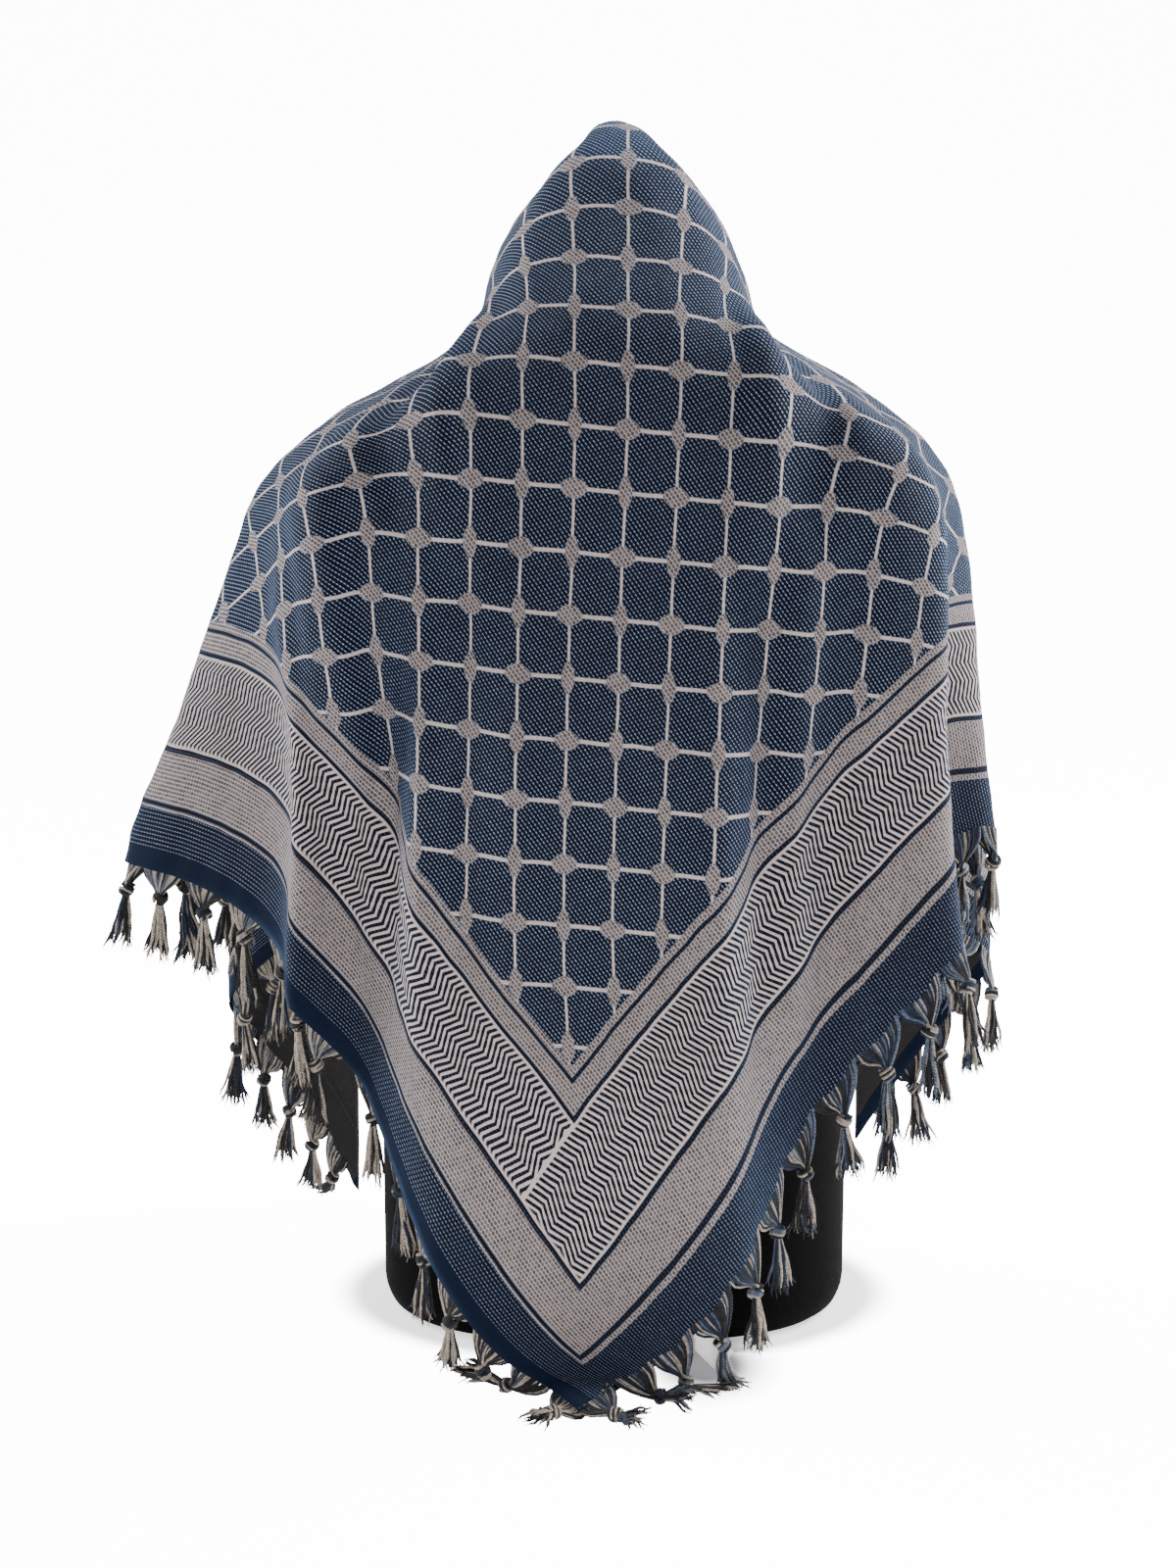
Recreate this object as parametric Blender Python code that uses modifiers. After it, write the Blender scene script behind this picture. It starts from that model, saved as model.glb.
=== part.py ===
"""Keffiyeh headscarf on a limbless bust form.

A square cloth is folded on its diagonal and laid over the head of a bust. Every point of the cloth has two
coordinates in metres: s runs along the fold, positive on the wearer's right, and t runs from the fold down the
back. The cloth is cut by rings, each a line that lies about level once the scarf hangs. drape() finds the ring
of a point and its run along that ring, and the tables below say where the ring goes round the body.
Metres, +Z up, the open face side looks to +Y.
"""

import math

import bmesh
import bpy
import numpy as np
from mathutils import Vector

# the cloth
SIDE = 1.20                        # edge of the woven square
REACH = SIDE / math.sqrt(2.0)      # fold to corner, and half the fold
WALL = 0.0014                      # one layer of cloth
LAYER_STEP = 0.0032                # outer layer's middle to inner layer's middle
CELLS = 48                         # squares along one edge of the cloth
STRIP = 0.009                      # width of the fringed edge strip
PARTING = 0.0012                   # gap between the strip and its cloth

# the fringe
GRIP = 0.007                       # stretch of the edge that one tassel gathers
TASSEL_COUNT = 29                  # along one edge
TASSEL_FIRST = 0.0155              # from the back corner to the first tassel
TASSEL_PITCH = 0.0405
TASSEL_ROOT = 0.016
TASSEL_KNOT = 0.0052               # half width of the overhand knot
TASSEL_TAIL = 0.040
LOCK_TAPER = 0.75                  # a lock's width at its end, of its width at the knot
LOCK_SPREAD = 2.6                  # how far apart the locks end, of how far apart they start
TAIL_SPREAD = 0.0100               # half width of the spread tail
FLOOR = 0.0020                     # tassels lie this far above the floor

# the care label
LABEL_WIDTH = 0.022
LABEL_LENGTH = 0.036
LABEL_WALL = 0.0010
LABEL_GAP = 0.0004                 # between the label and the cloth it is sewn to
LABEL_PLACE = 0.1168               # from the back corner along the right edge

CROWN = 0.037                      # t of the crown, where the rings start
RING_COUNT = 170
RING_POINTS = 150

# a row per ring, by its t on the back: where it runs at the back, the sides and the front edges
HANG = (
    # ring,  y_back, z_back, x_right, x_left, y_front, z_side, z_front
    (0.037, -0.005, 0.7700, 0.0020, 0.002, 0.030, 0.7695, 0.7680),
    (0.052, -0.019, 0.7675, 0.0150, 0.014, 0.034, 0.7630, 0.7600),
    (0.076, -0.041, 0.7575, 0.0300, 0.026, 0.038, 0.7450, 0.7420),
    (0.093, -0.057, 0.7465, 0.0455, 0.041, 0.042, 0.7340, 0.7300),
    (0.126, -0.079, 0.7200, 0.0645, 0.0622, 0.050, 0.7090, 0.7040),
    (0.160, -0.101, 0.6920, 0.0780, 0.0772, 0.058, 0.6800, 0.6740),
    (0.194, -0.122, 0.6650, 0.0890, 0.086, 0.064, 0.6480, 0.6420),
    (0.215, -0.131, 0.6470, 0.1150, 0.108, 0.068, 0.6310, 0.6230),
    (0.238, -0.139, 0.6250, 0.1530, 0.144, 0.073, 0.6130, 0.6010),
    (0.262, -0.147, 0.6000, 0.1830, 0.184, 0.080, 0.5940, 0.5790),
    (0.300, -0.150, 0.5600, 0.2110, 0.223, 0.092, 0.5600, 0.5420),
    (0.340, -0.152, 0.5170, 0.2230, 0.243, 0.103, 0.5200, 0.5030),
    (0.420, -0.158, 0.4320, 0.2410, 0.284, 0.115, 0.4360, 0.4240),
    (0.510, -0.163, 0.3360, 0.2620, 0.330, 0.122, 0.3420, 0.3360),
    (0.620, -0.170, 0.2185, 0.2760, 0.343, 0.128, 0.2290, 0.2290),
    (0.815, -0.182, 0.0150, 0.2800, 0.348, 0.135, 0.0240, 0.0400),
    (0.8485, -0.212, 0.0070, 0.282, 0.350, 0.139, 0.0110, 0.0110),
)

# a row per ring: how it runs in the flat cloth, as a U with a flat back, a round corner and a straight side,
# how far its corner sags, and how much the back draws in, hanging on the bias
SQUARE = (
    # ring,  flat,  depth, sag,   width
    (0.037, 0.000, 0.037, 0.000, 0.926),
    (0.120, 0.004, 0.040, 0.000, 0.926),
    (0.194, 0.025, 0.055, 0.002, 0.920),
    (0.262, 0.095, 0.115, 0.006, 0.870),
    (0.325, 0.160, 0.165, 0.012, 0.858),
    (0.425, 0.210, 0.205, 0.028, 0.850),
    (0.575, 0.260, 0.245, 0.050, 0.842),
    (0.8485, 0.330, 0.300, 0.080, 0.850),
)

# how far left of the crown the cloth's middle hangs, and how much it drops to the right, turned on the head
HANG_OFF = (
    # t,     left,  drop
    (0.000, 0.024, 0.000),
    (0.120, 0.024, 0.060),
    (0.220, 0.024, 0.080),
    (0.400, 0.030, 0.080),
    (0.550, 0.034, 0.080),
    (0.640, 0.029, 0.080),
    (0.720, 0.024, 0.060),
    (0.8485, 0.024, 0.000),
)
DROP_REACH = 0.22                  # half width of the back over which the drop grows

# a row per fold, from the middle of the back to the front edge: where a ring turns, as shares of its half
# width and of its depth from back to front, on the head, on the shoulder, at the hem and at the back corner
RIGHT = (
    # head         shoulder      hem             corner
    ((0.00, 0.00), (0.00, 0.00), (0.00, 0.00), (0.00, 0.00)),    # middle of the back
    ((0.22, 0.00), (0.26, 0.00), (0.25, -0.01), (0.26, -0.01)),  # flat of the back
    ((0.44, 0.02), (0.56, 0.01), (0.42, 0.11), (0.44, 0.19)),    # foot of the step beside it
    ((0.68, 0.07), (0.90, 0.06), (0.84, 0.11), (0.84, 0.22)),    # back ridge
    ((0.88, 0.18), (0.92, 0.22), (0.62, 0.34), (0.64, 0.36)),    # deep fold behind it
    ((0.99, 0.36), (1.00, 0.38), (1.00, 0.43), (1.00, 0.43)),    # side ridge
    ((1.00, 0.54), (0.93, 0.52), (0.66, 0.56), (0.66, 0.56)),    # side fold
    ((1.00, 0.68), (0.97, 0.66), (0.98, 0.70), (0.98, 0.70)),    # second side ridge
    ((0.92, 0.77), (0.84, 0.76), (0.62, 0.83), (0.62, 0.83)),    # shoulder fold
    ((0.97, 0.86), (0.82, 0.89), (0.98, 0.93), (0.98, 0.93)),    # front ridge
    ((0.92, 0.94), (0.62, 0.98), (0.84, 1.04), (0.84, 1.04)),    # front panel
    ((0.92, 1.02), (0.36, 1.00), (0.62, 1.02), (0.62, 1.02)),    # front edge
)
LEFT = (
    # head         shoulder      hem             corner
    ((0.00, 0.00), (0.00, 0.00), (0.00, 0.00), (0.00, 0.00)),    # middle of the back
    ((0.22, 0.00), (0.26, 0.00), (0.33, -0.01), (0.32, -0.01)),  # flat of the back
    ((0.44, 0.02), (0.52, 0.01), (0.46, 0.18), (0.47, 0.22)),    # foot of the step beside it
    ((0.68, 0.07), (0.84, 0.05), (0.60, 0.13), (0.57, 0.20)),    # back ridge
    ((0.88, 0.18), (0.91, 0.22), (0.62, 0.27), (0.58, 0.32)),    # fold before the flare
    ((0.99, 0.36), (1.00, 0.38), (1.02, 0.46), (1.02, 0.46)),    # flare
    ((1.00, 0.54), (0.93, 0.52), (0.60, 0.56), (0.60, 0.56)),    # side fold
    ((1.00, 0.68), (0.97, 0.66), (0.90, 0.70), (0.90, 0.70)),    # second side ridge
    ((0.92, 0.77), (0.84, 0.76), (0.54, 0.83), (0.54, 0.83)),    # shoulder fold
    ((0.97, 0.86), (0.82, 0.89), (0.80, 0.93), (0.80, 0.93)),    # front ridge
    ((0.92, 0.94), (0.62, 0.98), (0.70, 1.04), (0.70, 1.04)),    # front panel
    ((0.92, 1.02), (0.36, 1.00), (0.52, 1.02), (0.52, 1.02)),    # front edge
)
HEAD_ENDS, SHOULDER_STARTS = 0.19, 0.28            # rings between which one set of posts gives way to the next
HEM_FULL, CORNER_STARTS, CORNER_FULL = 0.52, 0.57, 0.72

# the bust: a row per level
BUST = (
    # z,     half_w, half_d, y_mid,  power
    (0.0000, 0.1420, 0.0900, 0.000, 2.6),
    (0.0060, 0.1490, 0.0960, 0.000, 2.6),
    (0.0200, 0.1530, 0.1000, 0.000, 2.6),
    (0.1000, 0.1530, 0.1000, 0.000, 2.6),
    (0.2200, 0.1520, 0.1000, -0.004, 2.5),
    (0.3400, 0.1560, 0.1030, -0.010, 2.4),
    (0.4200, 0.1640, 0.1050, -0.016, 2.3),
    (0.4800, 0.1770, 0.1040, -0.022, 2.3),
    (0.5200, 0.1850, 0.0960, -0.026, 2.3),
    (0.5450, 0.1810, 0.0850, -0.028, 2.2),
    (0.5620, 0.1650, 0.0740, -0.028, 2.1),
    (0.5740, 0.1350, 0.0670, -0.026, 2.0),
    (0.5850, 0.0930, 0.0620, -0.022, 2.0),
    (0.6000, 0.0600, 0.0590, -0.014, 2.0),
    (0.6150, 0.0600, 0.0680, -0.004, 2.0),
    (0.6350, 0.0690, 0.0830, 0.002, 2.0),
    (0.6600, 0.0724, 0.0930, 0.003, 2.0),
    (0.6850, 0.0657, 0.0895, 0.003, 2.0),
    (0.7050, 0.0542, 0.0795, 0.002, 2.0),
    (0.7200, 0.0430, 0.0640, 0.001, 2.0),
    (0.7310, 0.0280, 0.0440, 0.000, 2.0),
    (0.7370, 0.0130, 0.0220, 0.000, 2.0),
)
BUST_SIDES = 30


def column(table, k):
    return np.array([row[k] for row in table], float)


def through(x, xs, ys):
    """Monotone cubic through a table's column."""
    h = np.diff(xs)
    rise = np.diff(ys) / h
    slope = np.zeros_like(ys)
    same = rise[1:] * rise[:-1] > 0
    near, far = 2 * h[1:] + h[:-1], h[1:] + 2 * h[:-1]
    inner = np.zeros(len(ys) - 2)
    inner[same] = (near + far)[same] / (near[same] / rise[:-1][same] + far[same] / rise[1:][same])
    slope[1:-1] = inner
    slope[0], slope[-1] = rise[0], rise[-1]
    x = np.clip(x, xs[0], xs[-1])
    k = np.clip(np.searchsorted(xs, x) - 1, 0, len(xs) - 2)
    u = (x - xs[k]) / h[k]
    return ((1 + 2 * u) * (1 - u) ** 2 * ys[k] + u * (1 - u) ** 2 * h[k] * slope[k]
            + u * u * (3 - 2 * u) * ys[k + 1] + u * u * (u - 1) * h[k] * slope[k + 1])


def ease(start, end, x):
    u = np.clip((x - start) / (end - start), 0, 1)
    return u * u * (3 - 2 * u)


def round_posts(posts, count):
    """A smooth plan curve round the posts, between passing through them and being pulled towards them."""
    before = [[-posts[1][0], posts[1][1]]]
    after = [2 * posts[-1] - posts[-2]]
    p = np.concatenate([before, posts, after])
    u = np.linspace(0, len(p) - 3, count)
    k = np.clip(u.astype(int), 0, len(p) - 4)
    f = (u - k)[:, None]
    a, b, c, d = p[k], p[k + 1], p[k + 2], p[k + 3]
    passing = 0.5 * (2 * b + (c - a) * f + (2 * a - 5 * b + 4 * c - d) * f ** 2
                     + (3 * b - a - 3 * c + d) * f ** 3)
    pulled = ((1 - f) ** 3 * a + (3 * f ** 3 - 6 * f ** 2 + 4) * b
              + (-3 * f ** 3 + 3 * f ** 2 + 3 * f + 1) * c + f ** 3 * d) / 6
    return 0.5 * passing + 0.5 * pulled


RINGS = CROWN + (REACH - CROWN) * np.linspace(0, 1, RING_COUNT)


def ring_curves(hand, folds):
    """Plan, height and running length of every ring on one side; hand is 1 on the right and -1 on the left."""
    at = column(HANG, 0)
    y_back, z_back = through(RINGS, at, column(HANG, 1)), through(RINGS, at, column(HANG, 2))
    half = through(RINGS, at, column(HANG, 3 if hand > 0 else 4))
    y_front = through(RINGS, at, column(HANG, 5))
    z_side, z_front = through(RINGS, at, column(HANG, 6)), through(RINGS, at, column(HANG, 7))
    sag = through(RINGS, column(SQUARE, 0), column(SQUARE, 3))
    width = through(RINGS, column(SQUARE, 0), column(SQUARE, 4))
    head, shoulder, hem, corner = (np.array([row[k] for row in folds], float) for k in range(4))
    curves = {name: np.zeros((RING_COUNT, RING_POINTS)) for name in ("x", "y", "z", "run")}
    for i, ring in enumerate(RINGS):
        past_head = ease(HEAD_ENDS, SHOULDER_STARTS, ring)
        to_hem = ease(SHOULDER_STARTS, HEM_FULL, ring)
        to_corner = ease(CORNER_STARTS, CORNER_FULL, ring)
        posts = (1 - past_head) * head + past_head * ((1 - to_hem) * shoulder + to_hem * hem)
        posts = (1 - to_corner) * posts + to_corner * corner
        posts = posts * (half[i], y_front[i] - y_back[i]) + (0, y_back[i])
        plan = round_posts(posts, RING_POINTS)
        run = np.concatenate([[0], np.cumsum(np.hypot(*np.diff(plan, axis=0).T))])
        share = run / run[-1]
        level = z_back[i] + (z_side[i] - z_back[i]) * ease(0.25, 0.55, share)
        level = level + (z_front[i] - level) * ease(0.6, 1.0, share)
        level = level - sag[i] * np.sin(math.pi * np.clip((share - 0.22) / 0.66, 0, 1)) ** 2
        curves["x"][i] = hand * plan[:, 0]
        curves["y"][i] = plan[:, 1]
        curves["z"][i] = level
        curves["run"][i] = run
    curves["width"] = width
    return curves


CURVES = {1: ring_curves(1, RIGHT), -1: ring_curves(-1, LEFT)}


def ring_of(s, t):
    """The ring a point of the cloth lies on, its run along the ring, the half ring's length and its flat part."""
    at, flats, depths = (column(SQUARE, k) for k in range(3))
    low = np.full(s.shape, RINGS[0])
    high = np.full(s.shape, RINGS[-1] + 0.2)
    for _ in range(34):
        ring = (low + high) / 2
        flat, depth = through(ring, at, flats), through(ring, at, depths)
        inside = np.hypot(np.maximum(s - flat, 0), np.maximum(t - depth, 0)) <= ring - depth
        high = np.where(inside, ring, high)
        low = np.where(inside, low, ring)
    flat, depth = through(ring, at, flats), through(ring, at, depths)
    radius = ring - depth
    turn = np.arctan2(np.maximum(s - flat, 0), np.maximum(t - depth, 1e-12))
    straight = flat + radius * math.pi / 2 + depth - t
    run = np.where(t < depth, straight, np.minimum(s, flat) + radius * turn)
    return ring, run, flat + radius * math.pi / 2 + depth, flat


def drape(s, t):
    """Where points (s, t) of the cloth hang: an array of x, y, z."""
    s, t = np.asarray(s, float), np.asarray(t, float)
    at = column(HANG_OFF, 0)
    s, t = (s - through(t, at, column(HANG_OFF, 1)),
            t + DROP_REACH * np.tanh(s / DROP_REACH) * through(t, at, column(HANG_OFF, 2)))
    ring, run, full, flat = ring_of(np.abs(s), t)
    place = np.clip((ring - RINGS[0]) / (RINGS[-1] - RINGS[0]), 0, 1) * (RING_COUNT - 1)
    first = np.clip(place.astype(int), 0, RING_COUNT - 2)
    between = place - first
    out = np.zeros(s.shape + (3,))
    for hand, curves in CURVES.items():
        mine = s >= 0 if hand > 0 else s < 0
        for step, weight in ((0, 1 - between), (1, between)):
            for k in np.unique(first[mine]):
                pick = mine & (first == k)
                row = k + step
                total = curves["run"][row, -1]
                back = flat[pick] * curves["width"][row]
                rest = (total - back) / (full[pick] - flat[pick])
                along = np.where(run[pick] < flat[pick], run[pick] * curves["width"][row],
                                 back + (run[pick] - flat[pick]) * rest)
                for axis, name in enumerate("xyz"):
                    value = np.interp(along, curves["run"][row], curves[name][row])
                    out[pick, axis] += weight[pick] * value
    return out


def cloth_point(a, b):
    """s and t from the distances a and b to the left and the right edge of the cloth."""
    return (a - b) / math.sqrt(2.0), REACH - (a + b) / math.sqrt(2.0)


# distances of the cloth's grid lines from an edge: the strip, the even cells, and the same strip at the far end
LINES = np.concatenate([[0.0], np.linspace(STRIP, SIDE - STRIP, CELLS - 1), [SIDE]])


def middle_surface():
    """Grid points of the outer layer's middle and their unit normals, [i, j] at LINES[i] and LINES[j]."""
    i, j = np.meshgrid(np.arange(CELLS + 1), np.arange(CELLS + 1), indexing="ij")
    on_cloth = i + j <= CELLS
    points = np.zeros((CELLS + 1, CELLS + 1, 3))
    points[on_cloth] = drape(*cloth_point(LINES[i[on_cloth]], LINES[j[on_cloth]]))
    normals = np.zeros_like(points)
    for i in range(CELLS):
        for j in range(CELLS - i):
            corners = [(i, j), (i + 1, j), (i + 1, j + 1), (i, j + 1)]
            if i + j + 1 == CELLS:
                corners.remove((i + 1, j + 1))
            p = [points[c] for c in corners]
            facing = np.cross(p[1] - p[-1], p[2] - p[0])
            for c in corners:
                normals[c] += facing
    normals /= np.linalg.norm(normals, axis=-1, keepdims=True) + 1e-12
    return points, normals


POINTS, NORMALS = middle_surface()


# ---------------------------------------------------------------- scene and materials

for stale in list(bpy.data.objects):
    bpy.data.objects.remove(stale, do_unlink=True)


def material(name, colour, roughness, metallic=0.0):
    made = bpy.data.materials.new(name)
    made.use_nodes = True
    shader = made.node_tree.nodes["Principled BSDF"]
    shader.inputs["Base Color"].default_value = (*colour, 1.0)
    shader.inputs["Roughness"].default_value = roughness
    shader.inputs["Metallic"].default_value = metallic
    return made


NAVY = material("navy_and_beige_cotton", (0.030, 0.062, 0.130), 0.90)
REVERSE = material("reverse_cotton", (0.115, 0.115, 0.120), 0.92)
YARN = material("tassel_yarn", (0.290, 0.270, 0.250), 0.90)
FORM_BLACK = material("matte_black_form", (0.012, 0.012, 0.013), 0.60)
LABEL_WHITE = material("white_label", (0.800, 0.800, 0.780), 0.70)


def finish(name, mesh_edit, surface):
    bmesh.ops.recalc_face_normals(mesh_edit, faces=mesh_edit.faces)
    data = bpy.data.meshes.new(name)
    mesh_edit.to_mesh(data)
    mesh_edit.free()
    data.materials.append(surface)
    node = bpy.data.objects.new(name, data)
    bpy.context.scene.collection.objects.link(node)
    return node


def solidify(node, thickness):
    wall = node.modifiers.new("wall", "SOLIDIFY")
    wall.thickness = thickness
    wall.offset = 0.0
    wall.use_even_offset = False
    return wall


# ---------------------------------------------------------------- the two layers of the folded cloth

def layer(name, off, fringed, surface):
    """One triangle of the folded square as a wall; fringed is the index axis of the edge that a strip takes."""
    level = POINTS + NORMALS * off
    mesh_edit = bmesh.new()
    verts = {}
    for i in range(CELLS + 1):
        for j in range(CELLS + 1 - i):
            index = (i, j)
            if index[fringed] == 0:
                continue
            place = level[i, j]
            if index[fringed] == 1:
                further = (i + 1 - fringed, j + fringed) if i + j < CELLS else (i - 1 + 2 * (1 - fringed),
                                                                               j - 1 + 2 * fringed)
                place = place + (level[further] - place) * PARTING / (LINES[2] - LINES[1])
            verts[index] = mesh_edit.verts.new(place)
    for i in range(CELLS):
        for j in range(CELLS - i):
            if (i, j)[fringed] == 0:
                continue
            near, right, far, left = (verts.get(c) for c in ((i, j), (i + 1, j), (i + 1, j + 1), (i, j + 1)))
            s, t = cloth_point(LINES[i], LINES[j])
            if far is None:
                mesh_edit.faces.new((near, right, left))
            elif abs(s) > t:
                # the front ends hang along s, so their cells are cut that way, and the back's along t
                mesh_edit.faces.new((near, right, left))
                mesh_edit.faces.new((right, far, left))
            else:
                mesh_edit.faces.new((near, right, far))
                mesh_edit.faces.new((near, far, left))
    node = finish(name, mesh_edit, surface)
    solidify(node, WALL)
    return node


layer("outer_layer", 0.0, 1, NAVY)
layer("inner_layer", -LAYER_STEP, 0, REVERSE)


# ---------------------------------------------------------------- the fringed edges

def tassel_path(start, away, lean):
    """Centre points of a tassel from its root: it turns down, and runs out along the floor where it meets it."""
    flat_away = Vector((away.x, away.y, 0.0))
    flat_away.normalize()
    heading = (away * 0.55 + Vector((0, 0, -1))).normalized()
    points = [start]
    here = start.copy()
    for length, half in ((TASSEL_ROOT, TASSEL_KNOT), (TASSEL_KNOT * 1.6, TASSEL_KNOT),
                         (TASSEL_TAIL * 0.5, TAIL_SPREAD), (TASSEL_TAIL * 0.5, TAIL_SPREAD)):
        here = here + heading * length
        if here.z < FLOOR + half:
            here.z = FLOOR + half
            here = here + flat_away * length * 0.45
        points.append(here)
        heading = (heading + Vector((0, 0, -0.9)) + lean).normalized()
    return points


def fringe(name, off, fringed, clear, surface):
    """A strip along one edge with its tassels, in one body.

    fringed is the index axis that the strip lies on, and clear sends its tassels off the cloth's outer face.
    """

    def line(across, lift):
        index = [(k, across) if fringed else (across, k) for k in range(CELLS)]
        return [POINTS[c] + NORMALS[c] * (off + lift) for c in index]

    def stops(across, lift):
        """The line's points, with the two ends of each tassel's grip in place of what lies in it."""
        whole = np.array(line(across, lift))
        return [np.array([np.interp(at, LINES[:CELLS], whole[:, axis]) for axis in range(3)]) for at in places]

    grips = TASSEL_FIRST + TASSEL_PITCH * np.arange(TASSEL_COUNT)
    free = [at for at in LINES[:CELLS] if np.abs(grips - at).min() > GRIP / 2 + 0.001]
    places = sorted([*free, *(grips - GRIP / 2), *(grips + GRIP / 2)])

    mesh_edit = bmesh.new()
    corners = ((1, WALL / 2), (0, WALL / 2), (0, -WALL / 2), (1, -WALL / 2))
    lines = [[mesh_edit.verts.new(p) for p in stops(*corner)] for corner in corners]
    edge, inward, lift = stops(0, 0.0), stops(1, 0.0), stops(0, WALL)
    rims = []
    for k in range(len(edge) - 1):
        for i in range(4):
            j = (i + 1) % 4
            face = mesh_edit.faces.new([lines[i][k], lines[i][k + 1], lines[j][k + 1], lines[j][k]])
            if i == 1 and np.abs(grips - GRIP / 2 - places[k]).min() < 1e-9:
                rims.append((face, k))
    mesh_edit.faces.new([each[0] for each in reversed(lines)])
    mesh_edit.faces.new([each[-1] for each in lines])
    bmesh.ops.recalc_face_normals(mesh_edit, faces=mesh_edit.faces)

    for count, (face, k) in enumerate(rims):
        start = Vector((edge[k] + edge[k + 1]) / 2)
        away = (start - Vector((inward[k] + inward[k + 1]) / 2)).normalized()
        tangent = Vector(edge[k + 1] - edge[k]).normalized()
        swing = tangent * 0.16 * math.sin(2.4 * count + fringed)
        facing = Vector(lift[k] - edge[k]).normalized()
        path = tassel_path(start, away + facing * clear, swing)
        neck = path[2].lerp(path[3], 0.35)
        before = start
        for centre, half in ((path[1], 0.0030), (path[2], TASSEL_KNOT), (neck, 0.0034)):
            direction = (centre - before).normalized()
            wide = (tangent - direction * tangent.dot(direction)).normalized()
            deep = direction.cross(wide).normalized()
            face = bmesh.ops.extrude_discrete_faces(mesh_edit, faces=[face])["faces"][0]
            middle = face.calc_center_median()
            for vert in face.verts:
                gap = vert.co - middle
                vert.co = (centre + wide * math.copysign(half, gap.dot(wide))
                           + deep * math.copysign(half, gap.dot(deep)))
            before = centre
        poked = bmesh.ops.poke(mesh_edit, faces=[face])["faces"]
        for lock in bmesh.ops.extrude_discrete_faces(mesh_edit, faces=poked)["faces"]:
            middle = lock.calc_center_median()
            shift = path[4] - neck + (middle - neck) * LOCK_SPREAD
            for vert in lock.verts:
                vert.co = middle + (vert.co - middle) * LOCK_TAPER + shift
    return finish(name, mesh_edit, surface)


fringe("right_fringe", 0.0, 1, 0.2, YARN)
fringe("left_fringe", -LAYER_STEP, 0, -0.85, YARN)


# ---------------------------------------------------------------- the care label

def label():
    """A blank tape that hangs from the inner layer's selvedge, between two tassels of the right edge."""
    under = -LAYER_STEP - WALL / 2 - LABEL_GAP - LABEL_WALL / 2
    hem = [np.array([np.interp(along, LINES, POINTS[:, k, axis] + NORMALS[:, k, axis] * under)
                     for axis in range(3)])
           for k in (0, 1) for along in (LABEL_PLACE - LABEL_WIDTH / 2, LABEL_PLACE + LABEL_WIDTH / 2)]
    mesh_edit = bmesh.new()
    rows = []
    for share in (-0.008, 0.0, 0.012, LABEL_LENGTH - 0.008):
        row = []
        for edge, inside in zip(hem[:2], hem[2:]):
            down = (edge - inside) / np.linalg.norm(edge - inside)
            sway = Vector((0.0, 0.10, 0.0)) * max(share, 0.0)
            row.append(mesh_edit.verts.new(Vector(edge + down * share) + sway))
        rows.append(row)
    for upper, lower in zip(rows, rows[1:]):
        mesh_edit.faces.new((upper[0], upper[1], lower[1], lower[0]))
    node = finish("care_label", mesh_edit, LABEL_WHITE)
    solidify(node, LABEL_WALL)


label()


# ---------------------------------------------------------------- the bust

def bust():
    mesh_edit = bmesh.new()
    rings = []
    for z, half_w, half_d, y_mid, power in BUST:
        ring = []
        for k in range(BUST_SIDES):
            angle = 2 * math.pi * k / BUST_SIDES
            c, s = math.cos(angle), math.sin(angle)
            x = math.copysign(abs(c) ** (2 / power), c) * half_w
            y = math.copysign(abs(s) ** (2 / power), s) * half_d
            ring.append(mesh_edit.verts.new((x, y_mid + y, z)))
        rings.append(ring)
    for lower, upper in zip(rings, rings[1:]):
        for k in range(BUST_SIDES):
            j = (k + 1) % BUST_SIDES
            mesh_edit.faces.new([lower[k], lower[j], upper[j], upper[k]])
    mesh_edit.faces.new(list(reversed(rings[0])))
    mesh_edit.faces.new(rings[-1])
    return finish("bust_form", mesh_edit, FORM_BLACK)


bust()
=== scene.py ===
import math
import random

import bmesh
import bpy
import numpy as np
from mathutils import Matrix, Vector


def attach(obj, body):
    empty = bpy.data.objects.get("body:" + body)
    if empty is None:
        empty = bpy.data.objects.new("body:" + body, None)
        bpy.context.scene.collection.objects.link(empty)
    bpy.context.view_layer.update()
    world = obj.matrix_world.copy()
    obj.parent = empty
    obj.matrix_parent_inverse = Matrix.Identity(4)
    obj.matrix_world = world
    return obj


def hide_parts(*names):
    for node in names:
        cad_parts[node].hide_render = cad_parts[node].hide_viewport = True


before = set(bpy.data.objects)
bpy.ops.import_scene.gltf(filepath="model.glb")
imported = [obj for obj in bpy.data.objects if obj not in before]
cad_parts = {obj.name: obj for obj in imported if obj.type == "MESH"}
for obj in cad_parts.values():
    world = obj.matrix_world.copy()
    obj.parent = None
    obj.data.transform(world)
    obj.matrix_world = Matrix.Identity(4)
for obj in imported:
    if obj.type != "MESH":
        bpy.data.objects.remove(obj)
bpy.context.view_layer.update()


# ---------------------------------------------------------------- the camera
# It stands level with the top of the hood, two metres behind the scarf, and looks a little down.

CAMERA_PLACE = (-0.0173, -1.965, 0.810)
LOOKS_DOWN = 13.2
LENS = 71.44

view_data = bpy.data.cameras.new("camera")
view_data.lens = LENS
view_data.sensor_fit = "VERTICAL"
view_data.sensor_height = 36.0
view_data.sensor_width = 36.0
camera = bpy.data.objects.new("camera", view_data)
camera.location = CAMERA_PLACE
camera.rotation_euler = (math.radians(90 - LOOKS_DOWN), 0.0, 0.0)
bpy.context.scene.collection.objects.link(camera)
bpy.context.scene.camera = camera


# ---------------------------------------------------------------- the bust form
# A limbless shop bust with a plain egg-shaped head, moulded whole in fibreglass and covered in flocked black
# jersey. It stands on its flat base and carries the scarf.

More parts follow.
